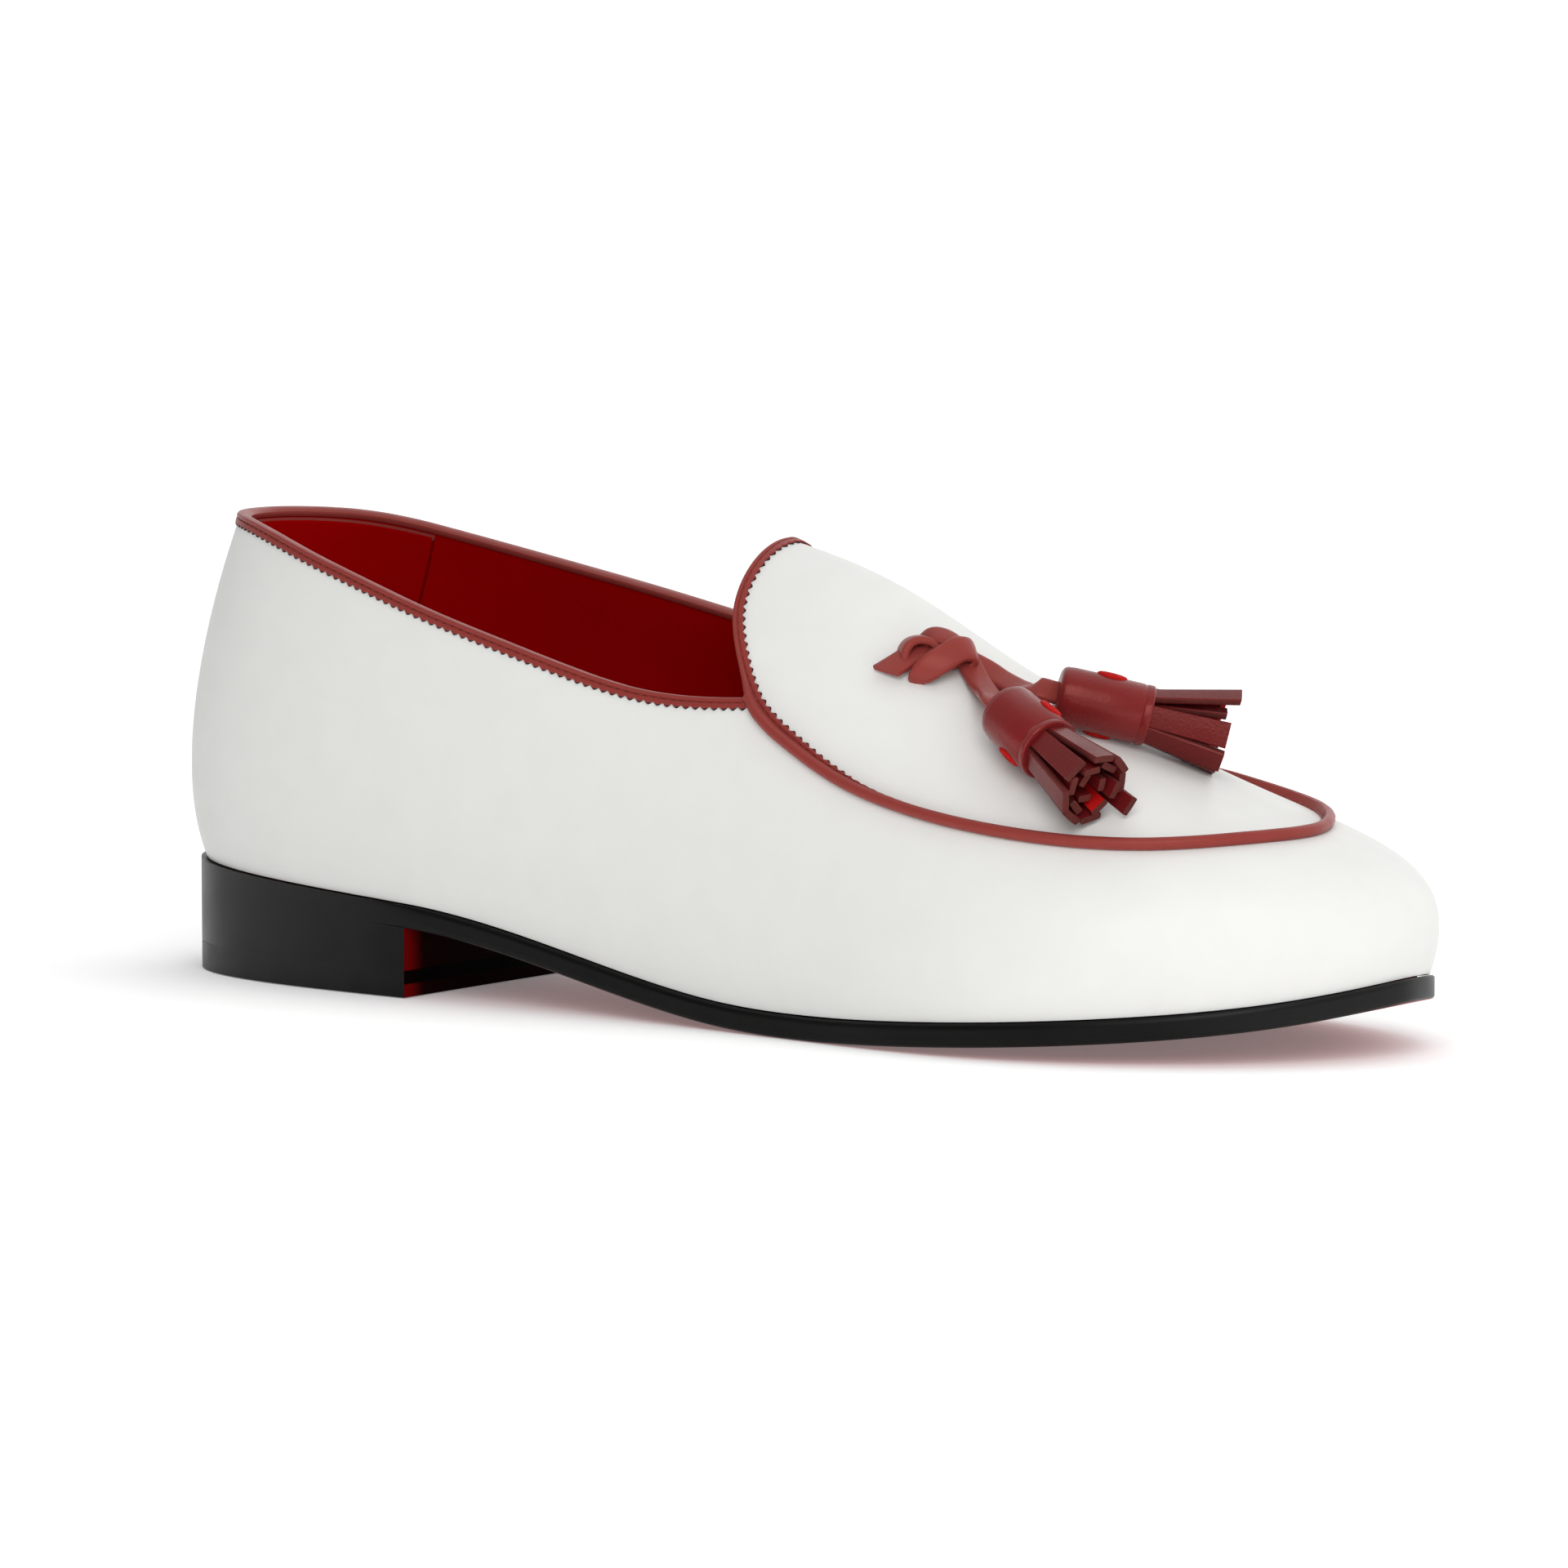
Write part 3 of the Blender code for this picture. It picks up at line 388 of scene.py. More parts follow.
class LoaferColours(bpy.types.PropertyGroup):
    """The shoe's colours."""

    leather: colour("Leather", "White leather of the upper", (0.80, 0.80, 0.775))
    trim: colour("Trim", "Brick red of the bindings and the thong", (0.275, 0.044, 0.037))
    # A dark strip of painted shade at the bindings' teeth
    backing: colour("Backing", "Dark raw edge between the bindings' teeth", (0.045, 0.024, 0.027))
    # The tassels' oxblood, lightened on the collars as painted light
    collar: colour("Collar", "Oxblood of the tassels' collars", (0.20, 0.017, 0.0175))
    tassel: colour("Tassel", "Oxblood of the tassels' fringes", (0.135, 0.008, 0.0095))
    flesh: colour("Flesh side", "Bright red of the tassels' inner side", (0.50, 0.008, 0.008))
    cut: colour("Cut edge", "Brownish red of the strips' cut edges", (0.115, 0.024, 0.021))
    lining: colour("Lining", "Deep red of the lining", (0.40, 0.0005, 0.001))
    # The lining's red, darkened as painted shade on the grip's edge
    grip: colour("Grip edge", "Dark red of the heel grip's cut edge", (0.22, 0.000275, 0.00055))
    bottom: colour("Bottom", "Painted red of the sole's underside", (0.30, 0.002, 0.003))
    # The breast's real red paint, darker than the sole's as painted shade under the arch
    breast: colour("Breast", "Dark red painted on the heel's breast", (0.15, 0.001, 0.0015))
    edge: colour("Edge", "Black of the sole's and heel's edge", (0.0045, 0.0043, 0.0042))
    rubber: colour("Rubber", "Black of the heel's rubber", (0.006, 0.0055, 0.0055))
    floor: colour("Floor", "Pale floor", (0.97, 0.97, 0.97))


class LoaferSizes(bpy.types.PropertyGroup):
    """The sizes of what is added to the solids."""

    tooth_pitch: length("Tooth pitch", "From one pinked tooth to the next", 2.2)
    tooth_depth: length("Tooth depth", "From a pinked tooth's tip to its root", 0.42)
    stitch_length: length("Stitch length", "Visible length of a binding's stitch", 1.45)
    stitch_width: length("Stitch width", "Thickness of the sewing thread", 0.34)
    lining_thickness: length("Lining thickness", "Thickness of the lining leather", 0.35)
    grip_thickness: length("Grip thickness", "Thickness of the heel grip with the lining under it", 0.95)
    strap_width: length("Strap width", "Width of the thong in its knot", 4.6)
    strand_width: length("Strand width", "Width of the thong near the tassels", 5.0)
    thong_thickness: length("Thong thickness", "Thickness of the thong", 1.6)
    strip_thickness: length("Strip thickness", "Thickness of a fringe strip", 1.4)


# Mesh helpers


def deselect():
    """Select nothing."""
    if bpy.context.object and bpy.context.object.mode != "OBJECT":
        bpy.ops.object.mode_set(mode="OBJECT")
    bpy.ops.object.select_all(action="DESELECT")


def activate(piece):
    """Select one piece alone."""
    deselect()
    piece.select_set(True)
    bpy.context.view_layer.objects.active = piece


def add_piece(name, points, faces):
    """A new mesh object at the origin, selected alone."""
    mesh = bpy.data.meshes.new(name)
    mesh.from_pydata([tuple(p) for p in points], [], faces)
    piece = bpy.data.objects.new(name, mesh)
    bpy.context.collection.objects.link(piece)
    activate(piece)
    return piece


def add_closed(name, points, faces, angle=SMOOTH_BELOW):
    """A new closed piece with its faces outward, shaded smooth apart from its sharp edges."""
    piece = add_piece(name, points, faces)
    face_outward(piece)
    shade(piece, angle)
    return piece


def copy_node(node, name):
    """A copy of a CAD node with its triangles merged and joined into quads."""
    activate(frame["nodes"][node])
    bpy.ops.object.duplicate()
    piece = bpy.context.object
    piece.name = piece.data.name = name
    bpy.ops.object.parent_clear(type="CLEAR_KEEP_TRANSFORM")
    piece.data.materials.clear()
    for key in [key for key in piece.keys() if key.startswith("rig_")]:
        del piece[key]
    bpy.ops.object.mode_set(mode="EDIT")
    bpy.ops.mesh.select_all(action="SELECT")
    bpy.ops.mesh.remove_doubles(threshold=MERGE)
    bpy.ops.mesh.tris_convert_to_quads(
        face_threshold=SMOOTH_BELOW, shape_threshold=math.pi, topology_influence=QUAD_ORDER
    )
    bpy.ops.object.mode_set(mode="OBJECT")
    return piece


def apply_modifier(piece, kind, **values):
    """Add a modifier to the active piece and apply it."""
    activate(piece)
    bpy.ops.object.modifier_add(type=kind)
    modifier = piece.modifiers[-1]
    for key, value in values.items():
        setattr(modifier, key, value)
    bpy.ops.object.modifier_apply(modifier=modifier.name)


def subdivide(piece, boundary="ALL"):
    """Smooth a piece by subdivision, along its creases too."""
    levels = {"levels": SMOOTH_LEVELS, "render_levels": SMOOTH_LEVELS}
    apply_modifier(piece, "SUBSURF", boundary_smooth=boundary, **levels)


def crease_sharp(piece):
    """Keep the sharp edges of a piece through its subdivision."""
    activate(piece)
    bpy.ops.object.mode_set(mode="EDIT")
    bpy.ops.mesh.select_mode(type="EDGE")
    bpy.ops.mesh.select_all(action="DESELECT")
    bpy.ops.mesh.edges_select_sharp(sharpness=CREASED)
    bpy.ops.transform.edge_crease(value=1.0)
    bpy.ops.object.mode_set(mode="OBJECT")


def face_outward(piece):
    """Turn all faces of a closed piece outward."""
    activate(piece)
    bpy.ops.object.mode_set(mode="EDIT")
    bpy.ops.mesh.select_all(action="SELECT")
    bpy.ops.mesh.normals_make_consistent(inside=False)
    bpy.ops.object.mode_set(mode="OBJECT")


def shade(piece, angle=SMOOTH_BELOW):
    """Shade a piece smooth apart from the edges that are sharper than an angle."""
    activate(piece)
    bpy.ops.object.shade_smooth_by_angle(angle=angle)


def add_leathers(piece, names):
    """Give a piece its leathers."""
    for name in names:
        piece.data.materials.append(leather(name))


def finish_piece(piece, slot, leathers, *nodes):
    """Give a piece its leathers and the body it rides on, and hide the nodes that it replaces. Its slot is
    not used.
    """
    add_leathers(piece, leathers)
    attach(piece, BODY)
    if nodes:
        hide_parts(*nodes)


def bridge(rows, count, closed_rows=False, closed_ring=True, capped=False):
    """Faces between rows of points that have the same count, and over both ends if they are capped."""
    faces = []
    for k in range(rows if closed_rows else rows - 1):
        here, there = k * count, (k + 1) % rows * count
        for i in range(count if closed_ring else count - 1):
            j = (i + 1) % count
            faces.append((here + i, here + j, there + j, there + i))
    if capped:
        faces += [tuple(range(count)), tuple(range((rows - 1) * count, rows * count))]
    return faces


def unit(vectors):
    """Vectors of length one."""
    return vectors / np.linalg.norm(vectors, axis=-1, keepdims=True)


def run_of(line):
    """The distance of each point of a line from its start, along it."""
    return np.concatenate([[0.0], np.cumsum(np.linalg.norm(np.diff(line, axis=0), axis=1))])


def points_at(places, run, line):
    """Points at given distances along a line."""
    return np.stack([np.interp(places, run, line[:, axis]) for axis in range(3)], axis=-1)


def smooth_line(points, step, closed=False):
    """Points at even steps along a smooth curve through the given ones."""
    points = np.asarray(points, float)
    if closed:
        padded = np.concatenate([points[-1:], points, points[:2]])
    else:
        ends = 2 * points[:1] - points[1:2], 2 * points[-1:] - points[-2:-1]
        padded = np.concatenate([ends[0], points, ends[1]])
    fine = []
    share = np.linspace(0, 1, CURVE_STEPS, endpoint=False)[:, None]
    for a, b, c, d in zip(padded, padded[1:], padded[2:], padded[3:]):
        bend = (2 * a - 5 * b + 4 * c - d) * share**2 + (3 * b - a - 3 * c + d) * share**3
        fine.append(b + 0.5 * ((c - a) * share + bend))
    fine = np.concatenate(fine + [padded[-2:-1]])
    run = run_of(fine)
    count = max(int(round(run[-1] / step)), 2)
    line = points_at(np.linspace(0, run[-1], count + 1), run, fine)
    return line[:-1] if closed else line


def average(values, reach, closed):
    """Values smoothed by their neighbours along a line."""
    if closed:
        padded = np.concatenate([values[-reach:], values, values[:reach]])
    else:
        padded = np.concatenate([values[:1]] * reach + [values] + [values[-1:]] * reach)
    window = np.ones(2 * reach + 1) / (2 * reach + 1)
    return np.stack([np.convolve(padded[:, i], window, "valid") for i in range(3)], axis=-1)


# Reading the CAD solids


def merged_shape(node):
    """A node's mesh with its loose triangles merged: points, neighbours of each, and the bmesh."""
    shape = bmesh.new()
    shape.from_mesh(frame["nodes"][node].data)
    bmesh.ops.remove_doubles(shape, verts=shape.verts, dist=MERGE)
    shape.verts.index_update()
    points = np.array([v.co for v in shape.verts])
    links = [sorted(e.other_vert(v).index for e in v.link_edges) for v in shape.verts]
    return shape, points, links


def sharp_rings(shape):
    """The closed rings of sharp edges of a shape."""
    links = [[] for _ in shape.verts]
    for edge in shape.edges:
        if edge.calc_face_angle(0.0) > SHARP:
            a, b = (v.index for v in edge.verts)
            links[a].append(b)
            links[b].append(a)
    left = {v for v, others in enumerate(links) if others}
    rings = []
    while left:
        ring = walk_from(min(left), links)
        rings.append(ring)
        left -= set(ring)
    return rings


def walk_from(start, links):
    """The ring of linked vertices that holds a given one, in order."""
    ring = [start]
    while True:
        ahead = [v for v in sorted(links[ring[-1]]) if v not in ring]
        if not ahead:
            return ring
        ring.append(ahead[0])


def line_up(ring, before, points):
    """A ring turned so that its points lie nearest to those of the ring before it."""
    turns = []
    for order in (ring, ring[::-1]):
        for start in range(len(order)):
            turned = order[start:] + order[:start]
            gap = np.linalg.norm(points[turned] - points[before], axis=1).sum()
            turns.append((gap, start, turned))
    return min(turns)[2]


def upper_grid():
    """The upper's outer and inner rows of points, from the mouth down to the sole.

    Column 0 is at the back of the heel, and the columns run along the lateral side first.
    """
    shape, points, links = merged_shape("upper")
    rings = sorted(sharp_rings(shape), key=lambda ring: points[ring][:, 2].mean())[:2]
    shape.free()
    foot, foot_inside = sorted(rings, key=lambda ring: np.ptp(points[ring][:, 0]), reverse=True)
    rings, met = [foot], set(foot) | set(foot_inside)
    while True:
        around = {n for v in rings[-1] for n in links[v]} - met
        if not around:
            break
        inside = [[n for n in others if n in around] for others in links]
        rings.append(line_up(walk_from(min(around), inside), rings[-1], points))
        met |= around
    rings.append(line_up(foot_inside, rings[-1], points))
    if len({len(ring) for ring in rings}) != 1 or len(rings) % 2:
        raise RuntimeError("the upper isn't a grid of rows")
    grid = points[np.array(rings)]
    half = len(rings) // 2
    mouth = grid[half - 1]
    grid = np.roll(grid, -int(np.argmin(mouth[:, 0])), axis=1)
    if grid[half - 1, 1, 1] > grid[half - 1, -1, 1]:
        grid = np.roll(grid[:, ::-1], 1, axis=1)
    return grid[half - 1 :: -1], grid[half:]


def corner_columns(mouth):
    """The two columns where the topline meets the tongue."""
    ahead = unit(np.roll(mouth, -1, axis=0) - mouth)
    turn = (ahead * np.roll(ahead, 1, axis=0)).sum(-1)
    half = len(mouth) // 2
    quarter = half // 4
    lateral = quarter + int(np.argmin(turn[quarter : half - quarter]))
    medial = half + quarter + int(np.argmin(turn[half + quarter : -quarter]))
    return lateral, medial


def flat_caps(node, sides):
    """The flat ends of a node that have the given number of corners, with its points and their links.

    Each end has its middle, its normal and its corners.
    """
    shape, points, links = merged_shape(node)
    whole = {"verts": shape.verts, "edges": shape.edges}
    bmesh.ops.dissolve_limit(shape, angle_limit=FLAT, delimit=set(), **whole)
    caps = []
    for face in shape.faces:
        if len(face.verts) == sides:
            corners = np.array([v.co for v in face.verts])
            caps.append((np.array(face.calc_center_median()), np.array(face.normal), corners))
    shape.free()
    return caps, points, links


def welt_line():
    """The plug's seam in front of the tongue, from the lateral corner round to the medial one."""
    caps, points, links = flat_caps("plug_welt", WELT_SIDES)
    if len(caps) < 2:
        raise RuntimeError("the plug's welt has no flat ends")
    start = min(caps, key=lambda cap: cap[0][1])
    first = [int(np.argmin(np.linalg.norm(points - corner, axis=1))) for corner in start[2]]
    met, layer, centres = set(first), sorted(set(first)), []
    while layer:
        centres.append(points[layer].mean(0))
        layer = sorted({n for v in layer for n in links[v]} - met)
        met |= set(layer)
    return np.array(centres)


# Materials


def socket_group(name, inputs, outputs):
    """A shader node group with named sockets, its tree, and its input and output nodes."""
    tree = bpy.data.node_groups.new(name, "ShaderNodeTree")
    for label, kind in inputs:
        tree.interface.new_socket(label, in_out="INPUT", socket_type=kind)
    for label, kind in outputs:
        tree.interface.new_socket(label, in_out="OUTPUT", socket_type=kind)
    return tree, tree.nodes.new("NodeGroupInput"), tree.nodes.new("NodeGroupOutput")


def add_node(tree, kind, values=(), **settings):
    """A node with its settings and the values or links of its inputs."""
    node = tree.nodes.new(kind)
    for key, value in settings.items():
        setattr(node, key, value)
    for key, value in dict(values).items():
        if isinstance(value, bpy.types.NodeSocket):
            tree.links.new(value, node.inputs[key])
        else:
            node.inputs[key].default_value = value
    return node


def combine(tree, operation, first, second):
    """Two values worked into one."""
    return add_node(tree, "ShaderNodeMath", {0: first, 1: second}, operation=operation).outputs[0]


def ramp(tree, value, start, end, first, last, kind="LINEAR"):
    """A value that goes from the first number to the last between two places."""
    values = {"Value": value, 1: start, 2: end, 3: first, 4: last}
    return add_node(tree, "ShaderNodeMapRange", values, interpolation_type=kind).outputs[0]


def split_place(tree):
    """The three coordinates of a place on the shoe."""
    place = add_node(tree, "ShaderNodeTexCoord").outputs["Object"]
    return add_node(tree, "ShaderNodeSeparateXYZ", {0: place}).outputs


def grain_group():
    """Leather grain: pebbles and pores with soft folds between them, as a height and a shade."""
    group = bpy.data.node_groups.get("leather grain")
    if group:
        return group
    inputs = (("Vector", "NodeSocketVector"), ("Pebble", "NodeSocketFloat"), ("Fold", "NodeSocketFloat"))
    outputs = (("Height", "NodeSocketFloat"), ("Shade", "NodeSocketFloat"))
    tree, start, end = socket_group("leather grain", inputs, outputs)
    place, pebble, fold = (start.outputs[i] for i in range(3))
    folds = {"Vector": place, "Scale": fold, "Detail": FOLD_DETAIL}
    folds = add_node(tree, "ShaderNodeTexNoise", folds)
    push = {0: folds.outputs["Color"], 1: (GRAIN_PUSH,) * 3}
    push = add_node(tree, "ShaderNodeVectorMath", push, operation="MULTIPLY").outputs[0]
    pushed = add_node(tree, "ShaderNodeVectorMath", {0: place, 1: push}, operation="ADD").outputs[0]
    pebbles = {"Vector": pushed, "Scale": pebble}
    pebbles = add_node(tree, "ShaderNodeTexVoronoi", pebbles, feature="SMOOTH_F1").outputs["Distance"]
    pores = {"Vector": place, "Scale": pebble, "Detail": PORE_DETAIL}
    pores = add_node(tree, "ShaderNodeTexNoise", pores)
    raised = combine(tree, "MULTIPLY", pebbles, PEBBLE_HEIGHT)
    height = {0: pores.outputs["Fac"], 1: PORE_HEIGHT, 2: raised}
    height = add_node(tree, "ShaderNodeMath", height, operation="MULTIPLY_ADD").outputs[0]
    tree.links.new(height, end.inputs["Height"])
    tree.links.new(folds.outputs["Fac"], end.inputs["Shade"])
    return tree


def leather(name):
    """One of the leathers, in a tint that varies towards a darker one, with its grain."""
    material = bpy.data.materials.get("fine_" + name)
    if material:
        return material
    tint, dark, roughness, pebble, relief, gloss, sheen = LEATHERS[name]
    tint = getattr(bpy.context.scene.loafer_colours, tint)
    material = bpy.data.materials.new("fine_" + name)
    material.use_nodes = True
    tree = material.node_tree
    shader = tree.nodes["Principled BSDF"]
    place = add_node(tree, "ShaderNodeTexCoord").outputs["Object"]
    grain = {"Vector": place, "Pebble": pebble, "Fold": pebble / PEBBLES_IN_FOLD}
    grain = add_node(tree, "ShaderNodeGroup", grain, node_tree=grain_group())
    shade_out = grain.outputs["Shade"]
    tints = {0: shade_out, 6: (*(dark * value for value in tint), 1.0), 7: (*tint, 1.0)}
    tinted = add_node(tree, "ShaderNodeMix", tints, data_type="RGBA")
    rough = ramp(tree, shade_out, *SHADE_RANGE, roughness + GLOSS_SPREAD, roughness - GLOSS_SPREAD)
    bump = {"Height": grain.outputs["Height"], "Strength": relief, "Distance": GRAIN_DEPTH}
    bump = add_node(tree, "ShaderNodeBump", bump)
    tree.links.new(tinted.outputs[2], shader.inputs["Base Color"])
    tree.links.new(rough, shader.inputs["Roughness"])
    tree.links.new(bump.outputs[0], shader.inputs["Normal"])
    shader.inputs["Specular IOR Level"].default_value = gloss
    shader.inputs["Specular Tint"].default_value = (*sheen, 1.0)
    if name in WAXED:
        wax_edges(tree)
    if name == "breast_paint":
        paint_breast_shade(tree)
    return material


def wax_edges(tree):
    """Wax a leather at the heel and at the toe."""
    along = split_place(tree)[0]
    ends = [ramp(tree, along, start, end, WAX, 0.0, "SMOOTHSTEP") for start, end in WAX_RAMPS]
    shader = tree.nodes["Principled BSDF"]
    tree.links.new(combine(tree, "MAXIMUM", *ends), shader.inputs["Coat Weight"])
    shader.inputs["Coat Roughness"].default_value = WAX_ROUGHNESS


def paint_breast_shade(tree):
    """Keep the paint red at the lateral edge of the heel's breast and fade it across the breast into
    near-black painted shade, and on the rubber keep it red low down and black above.
    """
    colour_in = tree.nodes["Principled BSDF"].inputs["Base Color"]
    plain = colour_in.links[0].from_socket
    _, across, up = split_place(tree)
    near, far = (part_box("heel_stack")[0].y + reach for reach in BREAST_SHADE_FADE)
    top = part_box("heel_toplift")[1].z
    # Painted shade: the red darkens across the breast away from its lateral edge
    fade = ramp(tree, across, near, far, 1.0, BREAST_SHADE_DEPTH, "SMOOTHSTEP")
    low = ramp(tree, up, LIFT_RED - BLUR, LIFT_RED + BLUR, 1.0, LIFT_DARK)
    high = ramp(tree, up, top - BLUR, top + BLUR, LIFT_DARK, 1.0)
    share = combine(tree, "MULTIPLY", combine(tree, "MAXIMUM", low, high), fade)
    painted = add_node(tree, "ShaderNodeVectorMath", {0: plain, "Scale": share}, operation="SCALE")
    tree.links.new(painted.outputs[0], colour_in)


# Upper and lining


def make_upper():
    """The white leather shell, smooth, with its raw edge and inner face in the lining's colour."""
    outer, inner = upper_grid()
    rows = np.concatenate([outer[::-1], inner])
    count = outer.shape[1]
    piece = add_piece("upper_leather", rows.reshape(-1, 3), bridge(len(rows), count, closed_rows=True))
    for polygon in piece.data.polygons:
        polygon.material_index = 0 if polygon.index < (len(outer) - 1) * count else 1
    add_leathers(piece, ("white_leather", "lining_leather"))
    face_outward(piece)
    crease = piece.data.attributes.new("crease_edge", "FLOAT", "EDGE")
    folds = (0, len(outer) - 1, len(outer), len(rows) - 1)
    for edge in piece.data.edges:
        a, b = (v // count for v in edge.vertices)
        crease.data[edge.index].value = 1.0 if a == b and a in folds else 0.0
    subdivide(piece)
    shade(piece, SHARP)
    return piece


def outer_tree(piece):
    """A search tree over the outer face of the upper."""
    mesh = piece.data
    faces = [tuple(p.vertices) for p in mesh.polygons if p.material_index == 0]
    return BVHTree.FromPolygons([v.co for v in mesh.vertices], faces)


def make_lining():
    """The lining inside the upper, and the heel grip sewn over it at the back."""
    sizes = bpy.context.scene.loafer_sizes
    _, inner = upper_grid()
    rows, count = inner.shape[:2]
    lining = add_piece("lining", inner.reshape(-1, 3), bridge(rows, count))
    half = np.arange(count // 2)
    ends = [side * np.interp(GRIP_FRONT, inner[0, side * half, 0], half) for side in (-1, 1)]
    patch = np.empty((rows, GRIP_COLUMNS, 3))
    for k, share in enumerate(np.linspace(0.0, 1.0, rows)):
        for c, column in enumerate(np.linspace(*ends, GRIP_COLUMNS)):
            patch[k, c] = on_grip(inner, column * (1.0 - GRIP_LEAN * share), share)
    grip = add_piece("heel_grip", patch.reshape(-1, 3), bridge(rows, GRIP_COLUMNS, closed_ring=False))
    for piece, thickness in ((lining, sizes.lining_thickness), (grip, sizes.grip_thickness)):
        turn_inward(piece)
        subdivide(piece, "PRESERVE_CORNERS")
        apply_modifier(piece, "SOLIDIFY", thickness=thickness, offset=1.0)
        add_leathers(piece, ["lining_leather"])
    round_grip(grip, smooth_line(patch[0], MM))
    for piece in (lining, grip):
        shade(piece)
        finish_piece(piece, "lining_leather", [])


def on_grip(inner, column, share):
    """A point of the heel grip, a share of the way down the wall from its top to its foot."""
    first = math.floor(column)
    beyond = column - first
    count = inner.shape[1]
    line = (1.0 - beyond) * inner[:, first % count] + beyond * inner[:, (first + 1) % count]
    run = run_of(line)
    return points_at(GRIP_TOP + share * (GRIP_FOOT * run[-1] - GRIP_TOP), run, line)


def round_grip(piece, top):
    """Round the heel grip's rim, with the trim's lighter red along its top as a painted highlight and a
    darker red elsewhere as painted shade.
    """
    add_leathers(piece, ("trim_leather", "grip_edge"))
    rounding = {"width": GRIP_ROUND, "segments": GRIP_SEGMENTS, "material": 1}
    apply_modifier(piece, "BEVEL", limit_method="ANGLE", angle_limit=GRIP_BENT, **rounding)
    # Near the top the rim keeps the lighter trim red as a painted highlight; elsewhere it takes the darker
    # red as painted shade
    for polygon in piece.data.polygons:
        away = np.linalg.norm(top - np.array(polygon.center), axis=-1).min()
        if polygon.material_index == 1 and away > GRIP_HIGHLIGHT_REACH:
            polygon.material_index = 2


def turn_inward(piece):
    """Turn the faces of an open sheet to the inside of the shoe."""
    middle = np.array([v.co for v in piece.data.vertices]).mean(0)
    away = sum(p.normal.dot(p.center - Vector(middle)) * p.area for p in piece.data.polygons)
    if away > 0:
        piece.data.flip_normals()


class LOAFER_OT_upper(bpy.types.Operator):
    """Model the upper's leather and its lining"""

    bl_idname = "loafer.upper"
    bl_label = "Upper and lining"

    def execute(self, context):
        finish_piece(make_upper(), "upper_leather", [], "upper")
        make_lining()
        return {"FINISHED"}


# Sole and heel


def flush_rims(piece, front, left):
    """Move the rounded rims behind a place out to the wall, so that the heel's layers lie flush.

    At the back a share of the rounding is left.
    """
    mesh = piece.data
    wall = set()
    for edge in mesh.edges:
        a, b = (mesh.vertices[v].co for v in edge.vertices)
        if abs(a.z - b.z) > UPRIGHT * (a - b).length > RIM_FREE:
            wall.update(edge.vertices)
    wall = sorted(wall)
    places = np.array([mesh.vertices[v].co[:2] for v in wall])
    for vertex in mesh.vertices:
        gap = np.linalg.norm(places - np.array(vertex.co[:2]), axis=1)
        nearest = int(np.argmin(gap))
        if vertex.index not in wall and gap[nearest] < RIM_FREE and vertex.co.x < front:
            share = 1 - left * np.interp(vertex.co.x, RIM_FADE, (1.0, 0.0))
            vertex.co.x += share * (places[nearest][0] - vertex.co.x)
            vertex.co.y += share * (places[nearest][1] - vertex.co.y)


def close_joint(piece, left):
    """Raise the top of a heel's layer to the layer over it, apart from a share at the back."""
    heights = np.array([v.co.z for v in piece.data.vertices])
    middle = (heights.min() + heights.max()) / 2
    for vertex in piece.data.vertices:
        if vertex.co.z > middle:
            vertex.co.z += JOINT * (1 - left * np.interp(vertex.co.x, RIM_FADE, (1.0, 0.0)))


def smooth_solid(piece, painted=None):
    """Smooth a copied solid between its sharp edges, with the second leather on its painted faces."""
    crease_sharp(piece)
    subdivide(piece)
    for polygon in piece.data.polygons:
        polygon.material_index = int(bool(painted and painted(polygon.normal)))
    shade(piece)


class LOAFER_OT_sole(bpy.types.Operator):
    """Model the outsole, the heel and the insole's sock"""

    bl_idname = "loafer.sole"
    bl_label = "Sole and heel"

    def execute(self, context):
        piece = copy_node("outsole", "outsole_leather")
        flush_rims(piece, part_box("heel_stack")[1].x - FLUSH_BEHIND, 0.0)
        smooth_solid(piece, lambda normal: normal.z < UNDERSIDE)
        finish_piece(piece, "sole_leather", ["edge_leather", "bottom_leather"], "outsole")
        for node, name, slot, side, left in HEEL_LAYERS:
            piece = copy_node(node, name)
            flush_rims(piece, math.inf, RIM_LEFT * left)
            close_joint(piece, left)
            smooth_solid(piece, lambda normal: normal.x > BREAST_SIDE)
            finish_piece(piece, slot, [side, "breast_paint"], node)
        piece = copy_node("insole", "sock_lining")
        smooth_solid(piece)
        finish_piece(piece, "lining_leather", ["lining_leather"], "insole")
        return {"FINISHED"}


# Bindings


def frames_on(line, tree, closed, reach):
    """Points of a line on the upper, with the outward and the leftward directions there."""
    found = [tree.find_nearest(Vector(p)) for p in line]
    points = np.array([f[0] for f in found])
    outward = np.array([f[1] for f in found])
    outward[outward[:, 2] < FOLDED] *= -1
    outward = unit(average(outward, reach, closed))
    if closed:
        ahead = np.roll(points, -1, axis=0) - np.roll(points, 1, axis=0)
    else:
        ahead = np.gradient(points, axis=0)
    left = unit(np.cross(outward, unit(average(ahead, reach, closed))))
    return points, outward, left


def sweep(name, frames, sections, closed):
    """A binding made of one section at each point of a line."""
    points, outward, left = frames
    rows = points[:, None] + sections[..., :1] * left[:, None] + sections[..., 1:] * outward[:, None]
    stations, count = rows.shape[:2]
    faces = bridge(stations, count, closed_rows=closed, capped=not closed)
    return add_closed(name, rows.reshape(-1, 3), faces)


def from_gap(count):
    """How far each step of a line is from the gap between two teeth, from 0 to 1 in a tooth's middle."""
    phase = np.arange(count) % TOOTH_STEPS / TOOTH_STEPS
    return 2 * np.minimum(phase, 1 - phase)


